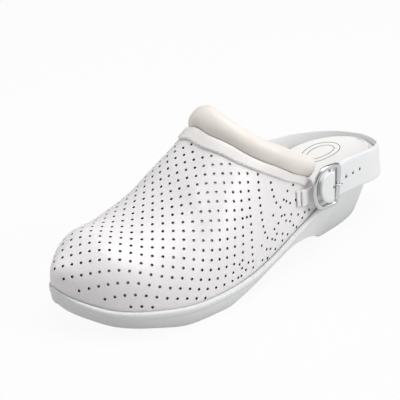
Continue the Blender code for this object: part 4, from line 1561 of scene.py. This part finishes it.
@dataclass
class Buckle:
    """Frame, bar and prong, with the leather tab that holds them on the lateral quarter."""

    last: Last
    finishes: dict[str, bpy.types.Material]
    share: float = 0.3075
    height: float = 0.0450
    stand: float = 0.0028
    long: float = 0.0231
    tall: float = 0.0290
    tilt: float = math.radians(5.3)
    pitch: float = math.radians(4.0)
    bar_wide: float = 0.0030
    bar_thick: float = 0.0024
    pin_radius: float = 0.0007
    pin_back: float = 0.0028
    pin_sunk: float = 0.0011
    pin_clear: float = 0.00025
    prong_radius: float = 0.0005
    rear_square: float = 7.0
    front_square: float = 2.4
    tab_wide: float = 0.0105
    tab_thick: float = 0.0008
    tab_drop: float = -0.0015
    slot_wide: float = 0.0030
    slot_deep: float = 0.0050
    aim_step: float = 0.03
    frame_steps: int = 128
    frame_sides: int = 20
    bar_steps: int = 9
    squareness: float = 0.8
    prong_sides: int = 14
    tip_size: float = 0.08
    tip_steps: float = 3.0
    tab_columns: int = 21
    wall_steps: int = 900
    seam_inset: float = 0.0014
    seam_shares: tuple[float, float] = (0.343, 0.3735)
    sewn: dict[str, Array] = field(default_factory=lambda: table(
        "along up", (0.392, 0.951), (0.378, 0.933), (0.364, 0.922), (0.350, 0.918), (0.338, 0.924)))

    def __post_init__(self) -> None:
        """Finds the buckle's frame: x towards the heel, y up and z outwards."""
        behind, ahead = (np.array(self.last.footprint(self.share + step, 1.0, 0.0))
                         for step in (-self.aim_step, self.aim_step))
        rearward = Vector((*unit(behind - ahead), 0.0))
        upward = Vector((0.0, 0.0, 1.0))
        axes = Matrix((rearward, upward, rearward.cross(upward))).transposed().to_4x4()
        place = Matrix.Translation(Vector(self.last.wall(self.share, 1.0, self.stand, self.height)))
        tilt = Matrix.Rotation(-self.tilt, 4, "Y") @ Matrix.Rotation(-self.pitch, 4, "Z")
        self.matrix = np.array(place @ axes @ tilt)

    def at(self, points: Array) -> Array:
        """Points of the buckle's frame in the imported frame."""
        return np.asarray(points) @ self.matrix[:3, :3].T + self.matrix[:3, 3]

    def prong_line(self) -> Array:
        """Points of the prong from its loop to its tip."""
        line = table(
            "back out",
            (0.199, -1.208), (0.273, -1.208), (0.316, -1.000), (0.329, -0.500), (0.333, 0.167),
            (0.355, 0.688), (0.411, 0.896), (0.485, 0.875), (0.550, 0.708),
        )
        return stack(self.long * line["back"], 0.0, self.bar_thick * line["out"])

    def build_frame(self) -> bpy.types.Object:
        """Makes the frame with its bar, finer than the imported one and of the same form."""
        angle = 2.0 * math.pi * (np.arange(self.frame_steps) + 0.5) / self.frame_steps
        across, up = np.cos(angle), np.sin(angle)
        half_long, half_tall = (self.long - self.bar_wide) / 2.0, (self.tall - self.bar_wide) / 2.0
        full = np.where(across > 0.0, self.rear_square, self.front_square)
        reach = (abs(across / half_long) ** full + abs(up / half_tall) ** full) ** (-1.0 / full)
        path = stack(reach * across, reach * up, 0.0)
        along = unit(np.roll(path, -1, axis=0) - np.roll(path, 1, axis=0))
        outward = np.array((0.0, 0.0, 1.0))
        around = angles(self.frame_sides)
        bulge, dome = (np.sign(wave) * abs(wave) ** self.squareness
                       for wave in (np.cos(around), np.sin(around)))
        rings = []
        for point, tangent in zip(path, along):
            side = np.cross(tangent, outward) * self.bar_wide / 2.0
            front = outward * self.bar_thick / 2.0
            rings.append(self.at(point + bulge[:, None] * side + dome[:, None] * front))
        item = sweep("buckle_frame_polished", rings, closed=True)
        round_bar = self.pin_radius * stack(np.cos(around), 0.0, np.sin(around))
        pin = [self.at(np.array((self.pin_back, y, -self.pin_sunk)) + round_bar)
               for y in np.linspace(-half_tall, half_tall, self.bar_steps)]
        join(item, [sweep("buckle_bar", pin)])
        return show(item, [self.finishes["polished_metal"]], ["buckle_frame"])

    def build_prong(self) -> bpy.types.Object:
        """Makes the prong with its loop round the bar and a rounded tip."""
        reach = self.pin_radius + self.pin_clear + self.prong_radius
        angle = np.radians(np.linspace(-340.0, -90.0, 31))
        loop = stack(self.pin_back + reach * np.cos(angle), 0.0, -self.pin_sunk + reach * np.sin(angle))
        stretch = np.vstack([loop[-1:], self.prong_line()])
        keys = run_along(stretch)
        fine = np.linspace(0.0, keys[-1], 60)[1:]
        back, out = (Track(keys, stretch[:, axis])(fine) for axis in (0, 2))
        path = np.vstack([loop, stack(back, 0.0, out)])
        level = np.array((0.0, 1.0, 0.0))
        rings = []
        for i, point in enumerate(path):
            tangent = unit(path[min(i + 1, len(path) - 1)] - path[max(i - 1, 0)])
            left = min((len(path) - 1 - i) / self.tip_steps, 1.0)
            radius = self.prong_radius * min(1.0, math.sqrt(max(self.tip_size, 1.0 - (1.0 - left) ** 2)))
            rings.append(self.at(point + radius * circle(self.prong_sides, np.cross(tangent, level), level)))
        item = sweep("buckle_prong_polished", rings)
        return show(item, [self.finishes["polished_metal"]], ["buckle_prong"])

    def quarter(self, share: float, height: Array, lift: float) -> Array:
        """Points on the lateral quarter at heights, lifted off its face."""
        turns = np.linspace(0.0, math.pi / 2.0, self.wall_steps)
        wall = self.last.upper(np.full(self.wall_steps, share), turns)[:, 2] - self.last.shift[2]
        turn = np.interp(height, wall, turns)
        around = np.full(len(turn), share)
        return self.last.upper(around, turn) + self.last.normal(around, turn) * lift

    def build_tab(self) -> bpy.types.Object:
        """Makes the tab, folded round the bar and sewn on the quarter, with the prong's slot."""
        near = self.last.slip + self.tab_thick / 2.0
        far = near + self.tab_thick + self.last.slip
        wrap = self.pin_radius + self.pin_clear + self.tab_thick / 2.0
        spread = np.linspace(-0.5, 0.5, self.tab_columns) * self.tab_wide
        loose = table("back out", (-1.286, -1.429), (0.071, -1.107), (0.143, -0.500), (-1.179, -0.964))
        on_quarter = [(share, self.height * up) for share, up in zip(self.sewn["along"], self.sewn["up"])]
        hanging = [(self.pin_back * x, self.stand * z) for x, z in zip(loose["back"], loose["out"])]

        def free(x: float, z: float) -> Array:
            """Points across the tab, in the buckle's frame, where it hangs free."""
            return self.at(stack(x, self.tab_drop + spread, z))

        rows = [self.quarter(share, height + spread, near) for share, height in on_quarter]
        rows += [free(x, z) for x, z in hanging[:2]]
        for angle in np.radians(np.linspace(-90.0, 90.0, 17)):
            rows.append(free(self.pin_back + wrap * math.cos(angle), -self.pin_sunk + wrap * math.sin(angle)))
        rows += [free(x, z) for x, z in hanging[2:]]
        rows += [self.quarter(share, height + spread, far) for share, height in on_quarter[:0:-1]]
        rows = self.refine(np.array(rows), 4)
        thin = np.ones(self.tab_columns)
        thin[[0, -1]], thin[[1, -2]] = 0.35, 0.85
        rings = []
        for i, row in enumerate(rows):
            ahead = rows[min(i + 1, len(rows) - 1)] - rows[max(i - 1, 0)]
            normal = unit(np.cross(ahead, np.gradient(row, axis=0)))
            side = normal * (self.tab_thick / 2.0 * thin)[:, None]
            rings.append(np.vstack([row + side, (row - side)[::-1]]))
        item = sweep("buckle_tab_cover", rings)
        half, deep = self.slot_wide / 2.0, self.slot_deep
        slot = [self.at([(x, -half, -deep), (x, half, -deep), (x, half, deep), (x, -half, deep)])
                for x in (0.0, 2.0 * self.pin_back)]
        cut_away(item, sweep("slot", slot))
        item.data.materials.clear()
        return show(item, [self.finishes["white_leather"]], ["buckle_tab"])

    def seams(self) -> list[tuple[Array, Array]]:
        """Lines of stitching round the tab's sewn end, with their outward directions."""
        high = self.tab_wide / 2.0 - self.seam_inset
        low, (first, last) = -high, self.seam_shares
        shares = np.linspace(first, last, 24)
        up = np.interp(shares, self.sewn["along"][:0:-1], self.sewn["up"][:0:-1])
        lift = 2.0 * self.last.slip + 2.0 * self.tab_thick
        middle = self.height * up
        paths = [list(zip(shares, middle + edge)) for edge in (low, high)]
        paths.append([(last, middle[-1] + place) for place in np.linspace(low, high, 12)])
        lines = []
        for path in paths:
            line, over = (
                np.array([self.quarter(share, np.array([height]), stand)[0] for share, height in path])
                for stand in (lift, lift + 0.001))
            lines.append((line, unit(over - line)))
        return lines

    def refine(self, rows: Array, parts: int) -> Array:
        """Rows that run smoothly through the given ones, with more of them."""
        length = run_along(rows.mean(axis=1))
        places = np.concatenate([np.linspace(a, b, parts, endpoint=False) for a, b in zip(length, length[1:])]
                                + [length[-1:]])
        columns = [stack(*(Track(length, rows[:, k, axis])(places) for axis in range(3)))
                   for k in range(rows.shape[1])]
        return np.stack(columns, axis=1)


def join(item: bpy.types.Object, others: Sequence[bpy.types.Object]) -> None:
    """Adds the meshes of other objects to one and removes them."""
    shell = bmesh.new()
    shell.from_mesh(item.data)
    for other in others:
        shell.from_mesh(other.data)
        bpy.data.objects.remove(other)
    shell.to_mesh(item.data)
    shell.free()
    item.data.shade_smooth()


@dataclass
class Thread:
    """Rows of short sewn stitches, joined in one mesh."""

    length: float = 0.0024
    gap: float = 0.0007
    radius: float = 0.00022
    sink: float = 0.00010
    sides: int = 7

    def stitch(self, start: Array, end: Array, normal: Array) -> list[Array]:
        """Rings of one stitch that dips into the leather at both ends."""
        rings = []
        level = np.cross(unit(end - start), normal)
        around = circle(self.sides, level, normal)
        for step in np.linspace(0.0, 1.0, 7):
            arch = math.sin(math.pi * step) ** 0.5
            centre = start + (end - start) * step + normal * (self.radius * 0.9 * arch - self.sink)
            rings.append(centre + self.radius * (0.45 + 0.55 * arch) * around)
        return rings

    def build(self, name: str, lines: Sequence[tuple[Array, Array]],
              finish: bpy.types.Material) -> bpy.types.Object:
        """Sews along lines.

        Args:
            name: Name of the piece.
            lines: Points along each line and the outward directions there.
            finish: The thread's material.

        Returns:
            The stitches.
        """
        points: list[Array] = []
        faces: list[tuple[int, ...]] = []
        for line, normals in lines:
            run = run_along(line)

            def at(values: Array, place: float) -> Array:
                """Values at a length along the line."""
                return np.array([np.interp(place, run, values[:, axis]) for axis in range(3)])

            pitch = self.length + self.gap
            for k in range(int((run[-1] - self.gap) / pitch)):
                begin = self.gap + k * pitch
                rings = self.stitch(at(line, begin), at(line, begin + self.length),
                                    unit(at(normals, begin + self.length / 2.0)))
                first = sum(len(part) for part in points)
                points += rings
                faces += tube_faces(len(rings), self.sides, first)
                faces += end_faces(len(rings), self.sides, first)
        item = make_object(name, np.concatenate(points), faces)
        face_outwards(item)
        return show(item, [finish])


@dataclass
class Sole:
    """One-piece sole with a lasting bead, an arch, a toe spring and a channelled tread."""

    last: Last
    finishes: dict[str, bpy.types.Material]
    stations: int = 150
    columns: int = 12
    tread_round: float = 0.0010
    channel_wide: float = 0.004
    channel_deep: float = 0.002
    channel_border: float = 0.0085
    groove_wide: float = 0.0011
    groove_deep: float = 0.0008
    groove_border: float = 0.0012
    groove_pitch: float = 0.0145
    groove_gap: float = 0.0135
    groove_fields: tuple[tuple[float, float], ...] = ((0.045, 0.235), (0.565, 0.800))
    wall_bulge: float = 1.2
    channels: tuple[float, ...] = (0.120, 0.180, 0.592, 0.648, 0.704, 0.760)

    def rings(self) -> list[Array]:
        """Rings from the tread's edge up the wall, over the bead and down to the seat."""
        last = self.last

        def foot(share: Array) -> Array:
            """How far the wall's foot is in from the bead's outline."""
            return last.tuck * last.tread_tuck(share)

        def tall(share: Array) -> Array:
            """Height of the wall from the tread to the bead."""
            return last.rim(share) - last.bead_height - last.tread(share)

        def wall(up: float) -> Array:
            """Ring on the wall at a share of its height."""
            draw = (1.0 - up) ** self.wall_bulge
            return last.outline(
                lambda share: last.bead_stand + (foot(share) - last.bead_stand) * draw,
                lambda share: last.tread(share) + tall(share) * up,
                self.stations, True)

        def bead(inset: float, drop: float) -> Array:
            """Ring on the bead, in from its outline and down from the rim."""
            return last.outline(
                lambda share: np.full_like(share, inset), lambda share: last.rim(share) - drop,
                self.stations, True)

        tread = last.outline(lambda share: foot(share) + self.tread_round, last.tread, self.stations, True)
        curve = table(
            "inset drop",
            (0.0016, 0.0047), (0.0013, 0.0044), (0.0006, 0.0038), (0.0002, 0.0030), (0.0000, 0.0020),
            (0.0001, 0.0011), (0.0005, 0.0004), (0.0011, 0.00005), (0.0015, 0.0000), (0.0021, 0.00005),
            (0.0027, 0.0003), (0.0030, 0.0008), (0.0030, 0.0014),
        )
        rings = [tread, wall(0.03), wall(0.08)] + [wall(up) for up in (0.2, 0.35, 0.5, 0.65, 0.8, 0.9, 0.96)]
        return rings + [bead(inset, drop) for inset, drop in zip(curve["inset"], curve["drop"])]

    def build(self) -> bpy.types.Object:
        """Makes the sole and cuts its tread channels."""
        item = fill_rings("sole_moulding", self.rings(), self.columns)
        self.cut_tread(item)
        item.data.set_sharp_from_angle(angle=math.radians(50.0))
        report_closed(item)
        return show(item, [self.finishes["sole_foam"]], ["sole"])

    def cut_tread(self, item: bpy.types.Object) -> None:
        """Cuts the broad channels and the fine grooves between them into the tread."""
        blocks: list[Array] = []
        faces: list[tuple[int, ...]] = []
        fine = [share for low, high in self.groove_fields for share in np.arange(low, high, self.groove_pitch)
                if min(abs(share - place) for place in self.channels) > self.groove_gap]
        cuts = [(share, self.channel_wide, self.channel_deep, 0.0) for share in self.channels]
        cuts += [(share, self.groove_wide, self.groove_deep, self.groove_border) for share in fine]
        for share, wide, deep, border in cuts:
            inner = self.last.tuck * float(self.last.tread_tuck(share)) + self.channel_border + border
            low, high = (float(self.last.footprint(share, side, inner)[1]) for side in (-1.0, 1.0))
            first = 8 * len(blocks)
            x = self.last.length * share
            blocks.append(np.array([(x + dx * wide, y, z) for z in (-deep, deep)
                                    for dx, y in ((-0.5, low), (0.5, low), (0.5, high), (-0.5, high))])
                          + self.last.shift)
            for face in ((3, 2, 1, 0), (4, 5, 6, 7), (0, 1, 5, 4), (1, 2, 6, 5), (2, 3, 7, 6), (3, 0, 4, 7)):
                faces.append(tuple(first + corner for corner in face))
        cutter = make_object("tread_cutter", np.concatenate(blocks), faces)
        cutter.data.shade_flat()
        cut_away(item, cutter)
        item.data.materials.clear()


@dataclass
class Insole:
    """Leather-covered insole, dished at the heel, with two plain printed ovals."""

    last: Last
    finishes: dict[str, bpy.types.Material]
    heel: float = 0.0041
    toe: float = 0.0024
    dish: float = 0.0012
    dish_end: float = 0.66
    dish_fade: float = 0.12
    stations: int = 110
    columns: int = 24
    mark_at: tuple[float, float] = (0.0350, -0.0070)
    mark_sizes: tuple[tuple[float, float], ...] = ((0.0150, 0.0098), (0.0108, 0.0062))
    mark_turn: float = math.radians(-6.0)
    mark_wide: float = 0.00060
    mark_thick: float = 0.00006
    mark_sides: int = 120

    def __post_init__(self) -> None:
        """Makes the insole's margin and thickness along the shoe."""
        last = self.last
        inner = last.feather + last.leather
        keys = turn_of(np.array((0.0, 0.26, 0.31, 1.0)))
        margins = (last.bead_width, last.bead_width, inner, inner + 2.0 * last.slip)
        self.inside = Track(keys, np.array(margins))
        thick_keys = turn_of(np.array((0.0, 0.40, 0.62, 1.0)))
        self.thick = Track(thick_keys, np.array((self.heel, self.heel, self.toe, self.toe)))

    def ring(self, step: float, up: float) -> Array:
        """Ring round the insole, stepped in and up by shares of its thickness."""
        last = self.last
        return last.outline(
            lambda share: self.inside(turn_of(share)) + last.slip + step * self.thick(turn_of(share)),
            lambda share: last.rim(share) - last.seat_drop + last.slip + up * self.thick(turn_of(share)),
            self.stations)

    def sink(self, along: float, across: float) -> float:
        """How far the top is dished, by the shares of the way round and across."""
        fade = float(np.clip((self.dish_end - share_of(math.pi * along)) / self.dish_fade, 0.0, 1.0))
        return self.dish * fade * (1.0 - (2.0 * across - 1.0) ** 2)

    def build(self) -> bpy.types.Object:
        """Makes the insole with a soft edge and a dished top."""
        rings = [self.ring(step, up) for step, up in
                 ((0.0, 0.0), (0.0, 0.2), (0.05, 0.5), (0.15, 0.75), (0.32, 0.92), (0.585, 1.0))]
        item = fill_rings("insole_cover", rings, self.columns, self.sink)
        self.build_mark(item)
        return show(item, [self.finishes["insole_leather"]], ["insole"])

    def build_mark(self, cover: bpy.types.Object) -> bpy.types.Object:
        """Prints two plain thin ovals on the heel seat.

        Args:
            cover: The insole that they lie on.

        Returns:
            The ovals.
        """
        shell = bmesh.new()
        shell.from_mesh(cover.data)
        tree = BVHTree.FromBMesh(shell)
        shell.free()
        angle = angles(self.mark_sides)
        cos, sin = math.cos(self.mark_turn), math.sin(self.mark_turn)
        ovals = []
        for long, wide in self.mark_sizes:
            corners = []
            for grow, lift in ((0.5, 1.0), (-0.5, 1.0), (-0.5, -1.0), (0.5, -1.0)):
                x = (long + grow * self.mark_wide) * np.cos(angle)
                y = (wide + grow * self.mark_wide) * np.sin(angle)
                x, y = x * cos - y * sin + self.mark_at[0], x * sin + y * cos + self.mark_at[1]
                line = []
                for place in stack(x, y, 0.2) + self.last.shift:
                    hit = tree.ray_cast(Vector(place), Vector((0.0, 0.0, -1.0)))[0]
                    line.append(np.array(hit) + np.array((0.0, 0.0, lift * self.mark_thick)))
                corners.append(np.array(line))
            rings = [np.array([line[k] for line in corners]) for k in range(len(angle))]
            ovals.append(sweep("insole_mark", rings, closed=True))
        join(ovals[0], ovals[1:])
        return show(ovals[0], [self.finishes["printed_mark"]])


@dataclass
class Studio:
    """Pale floor, soft light and the camera at the photograph's angle."""

    last: Last
    finishes: dict[str, bpy.types.Material]
    azimuth: float = math.radians(140.4788)
    elevation: float = math.radians(25.4495)
    roll: float = math.radians(-2.7029)
    distance: float = 0.60694
    focal: float = 984.13
    image: float = 400.0
    sensor: float = 36.0
    target: tuple[float, float, float] = (0.13433, -0.01506, 0.03871)
    lift_floor: float = 0.93
    floor_size: float = 4.0
    aim: tuple[float, float, float] = (0.0, 0.0, 0.04)

    def camera(self) -> None:
        """Puts the camera where the photograph was taken from."""
        a, e, r = self.azimuth, self.elevation, self.roll
        back = Vector((math.sin(a) * math.cos(e), -math.cos(a) * math.cos(e), math.sin(e)))
        right = Vector((math.cos(a), math.sin(a), 0.0))
        up = back.cross(right)
        level = right * math.cos(r) + up * math.sin(r)
        upright = up * math.cos(r) - right * math.sin(r)
        data = bpy.data.cameras.new("camera")
        data.sensor_width = self.sensor
        data.lens = self.focal * self.sensor / self.image
        data.clip_start = 0.01
        camera = bpy.data.objects.new("camera", data)
        eye = Vector(self.target) + Vector(self.last.shift) + back * self.distance
        camera.matrix_world = Matrix.Translation(eye) @ Matrix((level, upright, back)).transposed().to_4x4()
        bpy.context.scene.collection.objects.link(camera)
        bpy.context.scene.camera = camera

    def lamp(self, name: str, place: tuple[float, float, float], size: float, power: float) -> None:
        """A square soft light that looks at the shoe.

        Args:
            name: Its name.
            place: Where it hangs.
            size: Side of the square.
            power: Its power.
        """
        data = bpy.data.lights.new(name, "AREA")
        data.shape, data.size, data.energy = "SQUARE", size, power
        light = bpy.data.objects.new(name, data)
        light.location = place
        aim = Vector(self.aim) - Vector(place)
        light.rotation_mode = "QUATERNION"
        light.rotation_quaternion = aim.to_track_quat("-Z", "Y")
        bpy.context.scene.collection.objects.link(light)

    def build(self) -> None:
        """Makes the floor, the lights, the surrounding light and the camera."""
        size = self.floor_size
        corners = np.array([(-size, -size, 0.0), (size, -size, 0.0), (size, size, 0.0), (-size, size, 0.0)])
        floor = make_object("floor", corners, [(0, 1, 2, 3)])
        floor.data.materials.append(self.backdrop())
        self.lamp("overhead", (-0.15, 0.10, 1.25), 1.0, 9.3)
        self.lamp("side", (-0.80, 1.20, 0.75), 0.8, 10.5)
        self.lamp("inner_front", (0.70, -0.95, 0.95), 0.9, 3.5)
        world = bpy.data.worlds.new("studio")
        world.use_nodes = True
        nodes, links = world.node_tree.nodes, world.node_tree.links
        place, parts = nodes.new("ShaderNodeTexCoord"), nodes.new("ShaderNodeSeparateXYZ")
        fade = nodes.new("ShaderNodeMapRange")
        fade.inputs["From Min"].default_value, fade.inputs["From Max"].default_value = 0.0, 0.8
        fade.inputs["To Min"].default_value, fade.inputs["To Max"].default_value = 0.16, 0.42
        links.new(place.outputs["Generated"], parts.inputs["Vector"])
        links.new(parts.outputs["Z"], fade.inputs["Value"])
        links.new(fade.outputs["Result"], nodes["Background"].inputs["Strength"])
        nodes["Background"].inputs["Color"].default_value = (1.0, 1.0, 1.0, 1.0)
        bpy.context.scene.world = world
        bpy.context.scene.view_settings.view_transform = "Standard"
        self.camera()

    def backdrop(self) -> bpy.types.Material:
        """Floor finish that shows near white and throws less light back up at the shoe."""
        floor = self.finishes["studio_floor"]
        nodes, links = floor.node_tree.nodes, floor.node_tree.links
        glow, path, amount = (nodes.new(kind) for kind in (
            "ShaderNodeEmission", "ShaderNodeLightPath", "ShaderNodeMath"))
        mix = nodes.new("ShaderNodeMixShader")
        amount.operation = "MULTIPLY"
        amount.inputs[1].default_value = self.lift_floor
        links.new(path.outputs["Is Camera Ray"], amount.inputs[0])
        links.new(amount.outputs[0], mix.inputs[0])
        links.new(nodes["Principled BSDF"].outputs[0], mix.inputs[1])
        links.new(glow.outputs[0], mix.inputs[2])
        links.new(mix.outputs[0], nodes["Material Output"].inputs["Surface"])
        return floor


def main() -> None:
    """Builds the dressed clog piece by piece."""
    logging.basicConfig(level=logging.INFO, format="%(name)s: %(message)s")
    grain, handling = leather_grain_group(), handling_group()
    finishes = {finish.name: finish.make(grain, handling) for finish in FINISHES}
    last = Last()
    Upper(last, finishes).build()
    collar = Collar(last, finishes)
    collar.build_roll()
    collar.build_band()
    buckle = Buckle(last, finishes)
    HeelStrap(last, finishes).build(buckle.at(buckle.prong_line()[3]))
    buckle.build_frame()
    buckle.build_prong()
    buckle.build_tab()
    Thread().build("band_stitches", [collar.band_line(0.86)], finishes["thread"])
    fine_thread = Thread(length=0.0014, gap=0.0006, radius=0.00016)
    fine_thread.build("tab_stitches", buckle.seams(), finishes["thread"])
    Sole(last, finishes).build()
    Insole(last, finishes).build()
    Studio(last, finishes).build()


if __name__ == "__main__":
    main()
